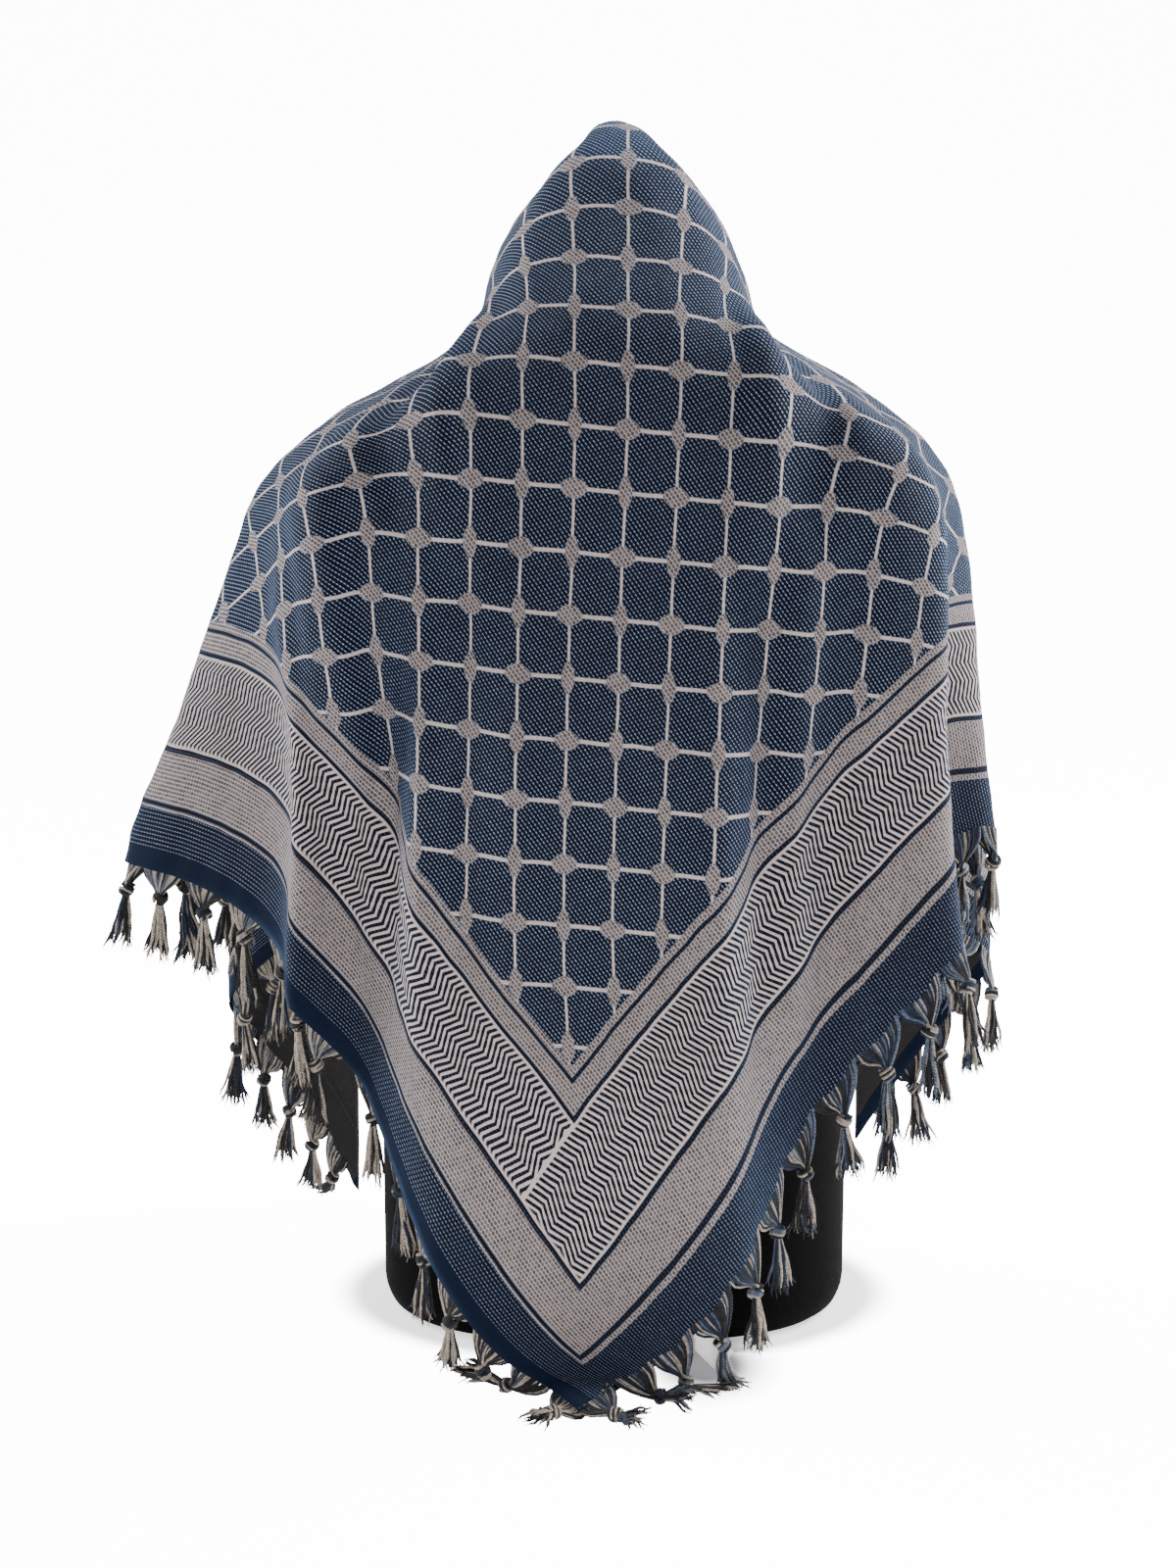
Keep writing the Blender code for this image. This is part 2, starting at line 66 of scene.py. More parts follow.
BUST = (
    # z,     half_w, half_d, y_mid,  power
    (0.0000, 0.1420, 0.0900, 0.000, 2.6),
    (0.0060, 0.1490, 0.0960, 0.000, 2.6),
    (0.0200, 0.1530, 0.1000, 0.000, 2.6),
    (0.1000, 0.1530, 0.1000, 0.000, 2.6),
    (0.2200, 0.1520, 0.1000, -0.004, 2.5),
    (0.3400, 0.1560, 0.1030, -0.010, 2.4),
    (0.4200, 0.1640, 0.1050, -0.016, 2.3),
    (0.4800, 0.1770, 0.1040, -0.022, 2.3),
    (0.5200, 0.1850, 0.0960, -0.026, 2.3),
    (0.5450, 0.1810, 0.0850, -0.028, 2.2),
    (0.5620, 0.1650, 0.0740, -0.028, 2.1),
    (0.5740, 0.1350, 0.0670, -0.026, 2.0),
    (0.5850, 0.0930, 0.0620, -0.022, 2.0),
    (0.6000, 0.0600, 0.0590, -0.014, 2.0),
    (0.6150, 0.0600, 0.0680, -0.004, 2.0),
    (0.6350, 0.0690, 0.0830, 0.002, 2.0),
    (0.6600, 0.0724, 0.0930, 0.003, 2.0),
    (0.6850, 0.0657, 0.0895, 0.003, 2.0),
    (0.7050, 0.0542, 0.0795, 0.002, 2.0),
    (0.7200, 0.0430, 0.0640, 0.001, 2.0),
    (0.7310, 0.0280, 0.0440, 0.000, 2.0),
    (0.7370, 0.0130, 0.0220, 0.000, 2.0),
)
BUST_SIDES = 112
BUST_LEVELS = 96


def column(table, k):
    return np.array([row[k] for row in table], float)


def through(x, xs, ys):
    """Monotone cubic through a table's column."""
    h = np.diff(xs)
    rise = np.diff(ys) / h
    slope = np.zeros_like(ys)
    same = rise[1:] * rise[:-1] > 0
    near, far = 2 * h[1:] + h[:-1], h[1:] + 2 * h[:-1]
    inner = np.zeros(len(ys) - 2)
    inner[same] = (near + far)[same] / (near[same] / rise[:-1][same] + far[same] / rise[1:][same])
    slope[1:-1] = inner
    slope[0], slope[-1] = rise[0], rise[-1]
    x = np.clip(x, xs[0], xs[-1])
    k = np.clip(np.searchsorted(xs, x) - 1, 0, len(xs) - 2)
    u = (x - xs[k]) / h[k]
    return ((1 + 2 * u) * (1 - u) ** 2 * ys[k] + u * (1 - u) ** 2 * h[k] * slope[k]
            + u * u * (3 - 2 * u) * ys[k + 1] + u * u * (u - 1) * h[k] * slope[k + 1])


def put_in_scene(name, mesh_edit, *finishes):
    data = bpy.data.meshes.new(name)
    mesh_edit.to_mesh(data)
    mesh_edit.free()
    for finish in finishes:
        data.materials.append(finish)
    data.polygons.foreach_set("use_smooth", [True] * len(data.polygons))
    piece = bpy.data.objects.new(name, data)
    bpy.context.scene.collection.objects.link(piece)
    return piece


def place_level(ring, z, half_w, half_d, y_mid, power):
    """Puts a ring's points on a rounded oblong; a higher power has squarer corners."""
    for k, vert in enumerate(ring):
        angle = 2 * math.pi * k / len(ring)
        c, s = math.cos(angle), math.sin(angle)
        vert.co = (math.copysign(abs(c) ** (2 / power), c) * half_w,
                   y_mid + math.copysign(abs(s) ** (2 / power), s) * half_d, z)


def by_corners(face):
    """A number for a face, so that sorted faces come in the same order each run."""
    first, second, third = sorted(vert.index for vert in face.verts)[:3]
    return (first * 1e5 + second) * 1e5 + third


def new_finish(name, roughness, **settings):
    """A material, its node tree and its shader, with the settings that are the same all over."""
    made = bpy.data.materials.new(name)
    made.use_nodes = True
    shader = made.node_tree.nodes["Principled BSDF"]
    shader.inputs["Roughness"].default_value = roughness
    for key, value in settings.items():
        shader.inputs[key.replace("_", " ")].default_value = value
    return made, made.node_tree, shader


class Reading:
    """A number that changes over a surface, and sums on it in shader nodes."""

    def __init__(self, tree, socket):
        self.tree, self.socket = tree, socket

    def sum(self, kind, *others):
        node = self.tree.nodes.new("ShaderNodeMath")
        node.operation = kind
        for k, value in enumerate((self,) + others):
            if isinstance(value, Reading):
                self.tree.links.new(value.socket, node.inputs[k])
            else:
                node.inputs[k].default_value = value
        return Reading(self.tree, node.outputs[0])

    def __add__(self, other):
        return self.sum("ADD", other)

    def __sub__(self, other):
        return self.sum("SUBTRACT", other)

    def __mul__(self, other):
        return self.sum("MULTIPLY", other)

    def __truediv__(self, other):
        return self.sum("DIVIDE", other)

    def flipped(self):
        return self * -1.0 + 1.0

    def under(self, limit, soft):
        """1 below the limit and 0 above it, over a soft edge."""
        node = self.tree.nodes.new("ShaderNodeMapRange")
        node.interpolation_type = "SMOOTHSTEP"
        self.tree.links.new(self.socket, node.inputs["Value"])
        node.inputs["From Min"].default_value = limit - soft
        node.inputs["From Max"].default_value = limit + soft
        node.inputs["To Min"].default_value = 1.0
        node.inputs["To Max"].default_value = 0.0
        return Reading(self.tree, node.outputs["Result"])

    def within(self, low, high, soft):
        return (self - (low + high) / 2).sum("ABSOLUTE").under((high - low) / 2, soft)


def noise_reading(tree, place, scale, detail=2.0, stretch=(1, 1, 1), distortion=0.0):
    spread = tree.nodes.new("ShaderNodeMapping")
    spread.inputs["Scale"].default_value = stretch
    tree.links.new(place, spread.inputs["Vector"])
    node = tree.nodes.new("ShaderNodeTexNoise")
    node.inputs["Scale"].default_value = scale
    node.inputs["Detail"].default_value = detail
    node.inputs["Distortion"].default_value = distortion
    tree.links.new(spread.outputs[0], node.inputs["Vector"])
    return Reading(tree, node.outputs["Fac"])


def blend_colours(tree, share, first, second):
    """The first colour where share is 0 and the second where it is 1; a colour is a triple or a socket."""
    node = tree.nodes.new("ShaderNodeMix")
    node.data_type = "RGBA"
    tree.links.new(share.socket, node.inputs["Factor"])
    for name, colour in (("A", first), ("B", second)):
        socket = next(s for s in node.inputs if s.name == name and s.type == "RGBA")
        if isinstance(colour, tuple):
            socket.default_value = (*colour, 1.0)
        else:
            tree.links.new(colour, socket)
    return next(s for s in node.outputs if s.type == "RGBA")


def raise_surface(tree, shader, height, distance, strength=1.0):
    bump = tree.nodes.new("ShaderNodeBump")
    bump.inputs["Distance"].default_value = distance
    bump.inputs["Strength"].default_value = strength
    tree.links.new(height.socket, bump.inputs["Height"])
    tree.links.new(bump.outputs[0], shader.inputs["Normal"])


def black_jersey():
    made, tree, shader = new_finish("black_jersey", 0.92, Sheen_Weight=0.01, Sheen_Roughness=0.5,
                                    Specular_IOR_Level=0.06)
    place = tree.nodes.new("ShaderNodeTexCoord").outputs["Object"]
    cloudy = noise_reading(tree, place, 26.0, 4.0)
    fibres = noise_reading(tree, place, 900.0, 2.0, (1.0, 1.0, 0.35))
    shade = (cloudy - 0.5) * 0.7 + fibres
    colour = blend_colours(tree, shade.under(0.55, 0.35), (0.0030, 0.0030, 0.0036), (0.0012, 0.0012, 0.0016))
    tree.links.new(colour, shader.inputs["Base Color"])
    raise_surface(tree, shader, fibres + cloudy * 0.6, 0.0006, 0.6)
    return made


mesh_edit = bmesh.new()
bmesh.ops.create_circle(mesh_edit, cap_ends=False, segments=BUST_SIDES, radius=0.1)
levels = through(np.linspace(0, 1, BUST_LEVELS), np.linspace(0, 1, len(BUST)), column(BUST, 0))
ring = sorted(mesh_edit.verts, key=lambda v: math.atan2(v.co.y, v.co.x) % (2 * math.pi))
base = list(mesh_edit.edges)
edges = base
for k, z in enumerate(levels):
    if k:
        grown = bmesh.ops.extrude_edge_only(mesh_edit, edges=edges)["geom"]
        lower = ring
        new = {v for v in grown if isinstance(v, bmesh.types.BMVert)}
        ring = [next(e.other_vert(v) for e in v.link_edges if e.other_vert(v) in new) for v in lower]
        edges = [e for e in grown if isinstance(e, bmesh.types.BMEdge)]
    place_level(ring, z, *(through(z, column(BUST, 0), column(BUST, c)) for c in range(1, 5)))
for rim in (base, edges):
    cap = bmesh.ops.contextual_create(mesh_edit, geom=rim)["faces"]
    bmesh.ops.poke(mesh_edit, faces=cap)
bmesh.ops.recalc_face_normals(mesh_edit, faces=mesh_edit.faces)
mesh_edit.verts.index_update()
mesh_edit.faces.sort(key=by_corners)
bust = put_in_scene("bust", mesh_edit, black_jersey())
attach(bust, "root")
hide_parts("bust_form")


# ---------------------------------------------------------------- the folded scarf
# One square of cotton, woven on a loom with navy and natural beige yarn, so that its net, borders and zigzags
# are in the weave. It is folded on its diagonal and laid over the bust's head. Two edges are selvedges.
# The other two are raw, and their warp ends are knotted into tassels.

SIDE = 1.20                        # edge of the woven square
REACH = SIDE / math.sqrt(2.0)      # fold to corner, and half the fold
CLOTH = 0.0009                     # thickness of the cotton
LAYER_STEP = 0.0032                # outer layer's middle to inner layer's middle
FOLD_ROUND = 0.0045                # how far from the fold its turn starts
CLOTH_CELLS = 208                  # mesh squares along one edge
TASSEL_FIRST = 0.0155              # from the back corner to the first tassel of a raw edge
TASSEL_PITCH = 0.0405
SCALLOP = 0.0036                   # how far a raw edge draws in between two tassels
SCALLOP_DEPTH = 0.014              # how far into the cloth that reaches
RIPPLE = 0.0006                    # height of the cloth's small unevenness

CROWN = 0.037                      # t of the crown, where the rings start
RING_COUNT = 240
RING_POINTS = 420

# a row per ring, by its t on the back: where it runs at the back, the sides and the front edges
HANG = (
    # ring,  y_back, z_back, x_right, x_left, y_front, z_side, z_front
    (0.037, -0.005, 0.7700, 0.0020, 0.002, 0.030, 0.7695, 0.7680),
    (0.052, -0.019, 0.7675, 0.0150, 0.014, 0.034, 0.7630, 0.7600),
    (0.076, -0.041, 0.7575, 0.0300, 0.026, 0.038, 0.7450, 0.7420),
    (0.093, -0.057, 0.7465, 0.0455, 0.041, 0.042, 0.7340, 0.7300),
    (0.126, -0.079, 0.7200, 0.0645, 0.0622, 0.050, 0.7090, 0.7040),
    (0.160, -0.101, 0.6920, 0.0780, 0.0772, 0.058, 0.6800, 0.6740),
    (0.194, -0.122, 0.6650, 0.0890, 0.086, 0.064, 0.6480, 0.6420),
    (0.215, -0.131, 0.6470, 0.1150, 0.108, 0.068, 0.6310, 0.6230),
    (0.238, -0.139, 0.6250, 0.1530, 0.144, 0.073, 0.6130, 0.6010),
    (0.262, -0.147, 0.6000, 0.1830, 0.184, 0.080, 0.5940, 0.5790),
    (0.300, -0.150, 0.5600, 0.2110, 0.223, 0.092, 0.5600, 0.5420),
    (0.340, -0.152, 0.5170, 0.2230, 0.243, 0.103, 0.5200, 0.5030),
    (0.420, -0.158, 0.4320, 0.2410, 0.284, 0.115, 0.4360, 0.4240),
    (0.510, -0.163, 0.3360, 0.2620, 0.330, 0.122, 0.3420, 0.3360),
    (0.620, -0.170, 0.2185, 0.2760, 0.343, 0.128, 0.2290, 0.2290),
    (0.815, -0.182, 0.0150, 0.2800, 0.348, 0.135, 0.0240, 0.0400),
    (0.8485, -0.212, 0.0070, 0.282, 0.350, 0.139, 0.0110, 0.0110),
)

# a row per ring: how it runs in the flat cloth, as a U with a flat back, a round corner and a straight side,
# how far its corner sags, and how much the back draws in, hanging on the bias
SQUARE = (
    # ring,  flat,  depth, sag,   width
    (0.037, 0.000, 0.037, 0.000, 0.926),
    (0.120, 0.004, 0.040, 0.000, 0.926),
    (0.194, 0.025, 0.055, 0.002, 0.920),
    (0.262, 0.095, 0.115, 0.006, 0.870),
    (0.325, 0.160, 0.165, 0.012, 0.858),
    (0.425, 0.210, 0.205, 0.028, 0.850),
    (0.575, 0.260, 0.245, 0.050, 0.842),
    (0.8485, 0.330, 0.300, 0.080, 0.850),
)

# how far left of the crown the cloth's middle hangs, and how much it drops to the right, turned on the head
HANG_OFF = (
    # t,     left,  drop
    (0.000, 0.024, 0.000),
    (0.120, 0.024, 0.060),
    (0.220, 0.024, 0.080),
    (0.400, 0.030, 0.080),
    (0.550, 0.034, 0.080),
    (0.640, 0.029, 0.080),
    (0.720, 0.024, 0.060),
    (0.8485, 0.024, 0.000),
)
DROP_REACH = 0.22                  # half width of the back over which the drop grows

# a row per fold, from the middle of the back to the front edge: where a ring turns, as shares of its half
# width and of its depth from back to front, on the head, on the shoulder, at the hem and at the back corner
RIGHT = (
    # head         shoulder      hem             corner
    ((0.00, 0.00), (0.00, 0.00), (0.00, 0.00), (0.00, 0.00)),    # middle of the back
    ((0.22, 0.00), (0.26, 0.00), (0.25, -0.01), (0.26, -0.01)),  # flat of the back
    ((0.44, 0.02), (0.56, 0.01), (0.42, 0.11), (0.44, 0.19)),    # foot of the step beside it
    ((0.68, 0.07), (0.90, 0.06), (0.84, 0.11), (0.84, 0.22)),    # back ridge
    ((0.88, 0.18), (0.92, 0.22), (0.62, 0.34), (0.64, 0.36)),    # deep fold behind it
    ((0.99, 0.36), (1.00, 0.38), (1.00, 0.43), (1.00, 0.43)),    # side ridge
    ((1.00, 0.54), (0.93, 0.52), (0.66, 0.56), (0.66, 0.56)),    # side fold
    ((1.00, 0.68), (0.97, 0.66), (0.98, 0.70), (0.98, 0.70)),    # second side ridge
    ((0.92, 0.77), (0.84, 0.76), (0.62, 0.83), (0.62, 0.83)),    # shoulder fold
    ((0.97, 0.86), (0.82, 0.89), (0.98, 0.93), (0.98, 0.93)),    # front ridge
    ((0.92, 0.94), (0.62, 0.98), (0.84, 1.04), (0.84, 1.04)),    # front panel
    ((0.92, 1.02), (0.36, 1.00), (0.62, 1.02), (0.62, 1.02)),    # front edge
)
LEFT = (
    # head         shoulder      hem             corner
    ((0.00, 0.00), (0.00, 0.00), (0.00, 0.00), (0.00, 0.00)),    # middle of the back
    ((0.22, 0.00), (0.26, 0.00), (0.33, -0.01), (0.32, -0.01)),  # flat of the back
    ((0.44, 0.02), (0.52, 0.01), (0.46, 0.18), (0.47, 0.22)),    # foot of the step beside it
    ((0.68, 0.07), (0.84, 0.05), (0.60, 0.13), (0.57, 0.20)),    # back ridge
    ((0.88, 0.18), (0.91, 0.22), (0.62, 0.27), (0.58, 0.32)),    # fold before the flare
    ((0.99, 0.36), (1.00, 0.38), (1.02, 0.46), (1.02, 0.46)),    # flare
    ((1.00, 0.54), (0.93, 0.52), (0.60, 0.56), (0.60, 0.56)),    # side fold
    ((1.00, 0.68), (0.97, 0.66), (0.90, 0.70), (0.90, 0.70)),    # second side ridge
    ((0.92, 0.77), (0.84, 0.76), (0.54, 0.83), (0.54, 0.83)),    # shoulder fold
    ((0.97, 0.86), (0.82, 0.89), (0.80, 0.93), (0.80, 0.93)),    # front ridge
    ((0.92, 0.94), (0.62, 0.98), (0.70, 1.04), (0.70, 1.04)),    # front panel
    ((0.92, 1.02), (0.36, 1.00), (0.52, 1.02), (0.52, 1.02)),    # front edge
)
HEAD_ENDS, SHOULDER_STARTS = 0.19, 0.28            # rings where one set of posts gives way to the next
HEM_FULL, CORNER_STARTS, CORNER_FULL = 0.52, 0.57, 0.72
SIDE_LEVEL, FRONT_LEVEL = (0.25, 0.55), (0.6, 1.0)    # shares of a run over which it comes to those levels
SAG_STARTS, SAG_SPAN = 0.22, 0.66                  # and over which it sags

# a row per soft crease, by hand: where it starts and ends, as a ring and a run along it in metres from the
# middle of the back, its half width, and how far it stands out, or in where it is a trough
CREASES = (
    # hand, ring,  run,   to_ring, to_run, half_width, out
    (1, 0.190, 0.098, 0.340, 0.104, 0.020, 0.0078),     # right, the hood's side carried down, and its trough
    (1, 0.200, 0.135, 0.330, 0.140, 0.020, -0.0065),
    (1, 0.330, 0.068, 0.640, 0.076, 0.019, 0.0055),     # first ridge of the back, and the trough beside it
    (1, 0.330, 0.104, 0.640, 0.110, 0.018, -0.0055),
    (1, 0.330, 0.130, 0.620, 0.140, 0.018, 0.0065),     # second ridge, and the trough under the shoulder
    (1, 0.320, 0.165, 0.620, 0.170, 0.020, -0.0072),
    (-1, 0.190, 0.112, 0.330, 0.118, 0.020, 0.0078),    # left, the hood's side carried down, and its trough
    (-1, 0.200, 0.150, 0.320, 0.156, 0.020, -0.0065),
    (-1, 0.340, 0.070, 0.600, 0.074, 0.020, 0.0039),    # first ridge of the back, and the trough beside it
    (-1, 0.340, 0.104, 0.600, 0.106, 0.018, -0.0039),
    (-1, 0.300, 0.140, 0.620, 0.146, 0.018, 0.0065),    # second ridge, and the trough beside it
    (-1, 0.300, 0.176, 0.600, 0.180, 0.018, -0.0065),
    (-1, 0.310, 0.200, 0.560, 0.202, 0.016, 0.0052),    # third ridge, and the trough before the flare
    (-1, 0.320, 0.232, 0.560, 0.232, 0.018, -0.0059),
)


def ease(start, end, x):
    u = np.clip((x - start) / (end - start), 0, 1)
    return u * u * (3 - 2 * u)


def round_posts(posts, count):
    """A smooth plan curve round the posts, between passing through them and being pulled towards them."""
    before = [[-posts[1][0], posts[1][1]]]
    after = [2 * posts[-1] - posts[-2]]
    p = np.concatenate([before, posts, after])
    u = np.linspace(0, len(p) - 3, count)
    k = np.clip(u.astype(int), 0, len(p) - 4)
    f = (u - k)[:, None]
    a, b, c, d = p[k], p[k + 1], p[k + 2], p[k + 3]
    passing = 0.5 * (2 * b + (c - a) * f + (2 * a - 5 * b + 4 * c - d) * f ** 2
                     + (3 * b - a - 3 * c + d) * f ** 3)
    pulled = ((1 - f) ** 3 * a + (3 * f ** 3 - 6 * f ** 2 + 4) * b
              + (-3 * f ** 3 + 3 * f ** 2 + 3 * f + 1) * c + f ** 3 * d) / 6
    return 0.5 * passing + 0.5 * pulled


RINGS = CROWN + (REACH - CROWN) * np.linspace(0, 1, RING_COUNT)


def ring_curves(hand, folds):
    """Plan, height and running length of each ring on one side; hand is 1 on the right, -1 on the left."""
    y_back, z_back, x_right, x_left, y_front, z_side, z_front = (
        through(RINGS, column(HANG, 0), column(HANG, k)) for k in range(1, 8))
    half = x_right if hand > 0 else x_left
    sag = through(RINGS, column(SQUARE, 0), column(SQUARE, 3))
    head, shoulder, hem, corner = (np.array([row[k] for row in folds], float) for k in range(4))
    curves = {name: np.zeros((RING_COUNT, RING_POINTS)) for name in ("x", "y", "z", "run")}
    for i, ring in enumerate(RINGS):
        past_head = ease(HEAD_ENDS, SHOULDER_STARTS, ring)
        to_hem = ease(SHOULDER_STARTS, HEM_FULL, ring)
        to_corner = ease(CORNER_STARTS, CORNER_FULL, ring)
        posts = (1 - past_head) * head + past_head * ((1 - to_hem) * shoulder + to_hem * hem)
        posts = (1 - to_corner) * posts + to_corner * corner
        posts = posts * (half[i], y_front[i] - y_back[i]) + (0, y_back[i])
        plan = round_posts(posts, RING_POINTS)
        run = np.concatenate([[0], np.cumsum(np.hypot(*np.diff(plan, axis=0).T))])
        share = run / run[-1]
        level = z_back[i] + (z_side[i] - z_back[i]) * ease(*SIDE_LEVEL, share)
        level = level + (z_front[i] - level) * ease(*FRONT_LEVEL, share)
        level = level - sag[i] * np.sin(math.pi * np.clip((share - SAG_STARTS) / SAG_SPAN, 0, 1)) ** 2
        curves["x"][i] = hand * plan[:, 0]
        curves["y"][i] = plan[:, 1]
        curves["z"][i] = level
        curves["run"][i] = run
    curves["width"] = through(RINGS, column(SQUARE, 0), column(SQUARE, 4))
    return curves


CURVES = {1: ring_curves(1, RIGHT), -1: ring_curves(-1, LEFT)}


def ring_of(s, t):
    """The ring a point of the cloth lies on, its run along it, the half ring's length and its flat part."""
    at, flats, depths = (column(SQUARE, k) for k in range(3))
    low = np.full(s.shape, RINGS[0])
    high = np.full(s.shape, RINGS[-1] + 0.2)
    for _ in range(34):            # halvings, down to a millionth of a millimetre
        ring = (low + high) / 2
        flat, depth = through(ring, at, flats), through(ring, at, depths)
        inside = np.hypot(np.maximum(s - flat, 0), np.maximum(t - depth, 0)) <= ring - depth
        high = np.where(inside, ring, high)
        low = np.where(inside, low, ring)
    flat, depth = through(ring, at, flats), through(ring, at, depths)
    radius = ring - depth
    turn = np.arctan2(np.maximum(s - flat, 0), np.maximum(t - depth, 1e-12))
    straight = flat + radius * math.pi / 2 + depth - t
    run = np.where(t < depth, straight, np.minimum(s, flat) + radius * turn)
    return ring, run, flat + radius * math.pi / 2 + depth, flat


def drape(s, t):
    """Where points of the cloth hang, with ring and run; s runs along the fold and t down the back."""
    s, t = np.asarray(s, float), np.asarray(t, float)
    at = column(HANG_OFF, 0)
    s, t = (s - through(t, at, column(HANG_OFF, 1)),
            t + DROP_REACH * np.tanh(s / DROP_REACH) * through(t, at, column(HANG_OFF, 2)))
    ring, run, full, flat = ring_of(np.abs(s), t)
    place = np.clip((ring - RINGS[0]) / (RINGS[-1] - RINGS[0]), 0, 1) * (RING_COUNT - 1)
    first = np.clip(place.astype(int), 0, RING_COUNT - 2)
    between = place - first
    out = np.zeros(s.shape + (3,))
    for hand, curves in CURVES.items():
        mine = s >= 0 if hand > 0 else s < 0
        for step, weight in ((0, 1 - between), (1, between)):
            for k in np.unique(first[mine]):
                pick = mine & (first == k)
                row = k + step
                total = curves["run"][row, -1]
                back = flat[pick] * curves["width"][row]
                rest = (total - back) / (full[pick] - flat[pick])
                along = np.where(run[pick] < flat[pick], run[pick] * curves["width"][row],
                                 back + (run[pick] - flat[pick]) * rest)
                for axis, name in enumerate("xyz"):
                    value = np.interp(along, curves["run"][row], curves[name][row])
                    out[pick, axis] += weight[pick] * value
    return out, ring, np.where(s >= 0, run, -run)


def outward(s, t):
    """The cloth's unit normals, away from the bust."""
    step = 0.003
    along = drape(s + step, t)[0] - drape(s - step, t)[0]
    down = drape(s, np.minimum(t + step, REACH))[0] - drape(s, np.maximum(t - step, 0.0))[0]
    facing = np.cross(down, along)
    return facing / (np.linalg.norm(facing, axis=-1, keepdims=True) + 1e-12)


def crease(ring, run):
    """How far the creases lift the cloth at a ring and a run."""
    lift = np.zeros(ring.shape)
    for hand, start, start_run, end, end_run, half_width, out in CREASES:
        share = (ring - start) / (end - start)
        middle = hand * (start_run + (end_run - start_run) * np.clip(share, 0, 1))
        across = np.clip(np.abs(run - middle) / half_width, 0, 1)
        fade = ease(-0.15, 0.15, share) * (1 - ease(0.8, 1.15, share))
        lift += out * fade * (1 + np.cos(math.pi * across)) / 2
    return lift


def scallop(along):
    """How far a raw edge draws in between two tassels, by the distance along it from the back corner."""
    return SCALLOP * (1 - np.cos(2 * math.pi * (along - TASSEL_FIRST) / TASSEL_PITCH)) / 2


def hang(a, b, depth):
    """Where points of the cloth hang, by distances from the left and right edges and depth under the top."""
    under = depth > LAYER_STEP / 2
    a, b = (a + scallop(b) * under * (1 - ease(0, SCALLOP_DEPTH, a)),
            b + scallop(a) * ~under * (1 - ease(0, SCALLOP_DEPTH, b)))
    s, t = (a - b) / math.sqrt(2.0), np.maximum(REACH - (a + b) / math.sqrt(2.0), 0.0)
    place, ring, run = drape(s, t)
    wave = RIPPLE * np.sin(s * 151 + 2.1 * np.sin(t * 37)) * np.sin(t * 83 + 1.7 * np.sin(s * 41))
    lift = crease(ring, run) + wave - depth
    return place + outward(s, t) * lift[..., None]


# the weave, by distances from an edge of the square
WEAVE_PITCH = 0.00252
DASH_HALF, SPECK_HALF = (0.135, 0.36), (0.44, 0.49)    # over weft and warp, in shares of the pitch
DASH_POWER = 2.4                   # how square their ends are
TWILL_PITCH = 0.00084
WANDER = 0.0016                    # how far the pattern's lines stray
EDGE_SOFT = 0.00035                # half width of the blur where one yarn gives way to the other
SELVEDGE_TO, OUTER_NAVY_TO = 0.0135, 0.0370
NET_PITCH = 0.035
NET_COLUMN, NET_ROW = -0.004, 0.6315 - 0.53 * NET_PITCH
COLUMN_HALF, ROW_HALF = 0.00090, 0.00112    # half widths of the net's lines
LOZENGES = ((0.0048, 0.0092), (0.0090, 0.0058))    # half width and half height of the tall and the wide ones
LOZENGE_POWER = 1.6                # 1 is a straight-sided lozenge, 2 an oval
FIELD_FROM = 0.1600
BEIGE_BANDS = (                    # navy lines part them
    # from,  to
    (0.0375, 0.0412),
    (0.0455, 0.0765),
    (0.1415, 0.1530),
    (0.1558, 0.1600),
)
NARROWED_BY, NARROWING = 0.0022, 1.6    # the selvedge borders lose width at their start
ZIGZAG_FROM, ZIGZAG_TO = 0.0800, 0.1385
ZIGZAG_PITCH = 0.0039
ZIGZAG_LINE = 0.00108              # half width of a navy line
ZIGZAG_LEAN = 0.44                 # slope of the lines
ZIGZAG_CLEAR = 0.0016              # plain beige between the lines' ends and the navy beside them
ZIGS = 5


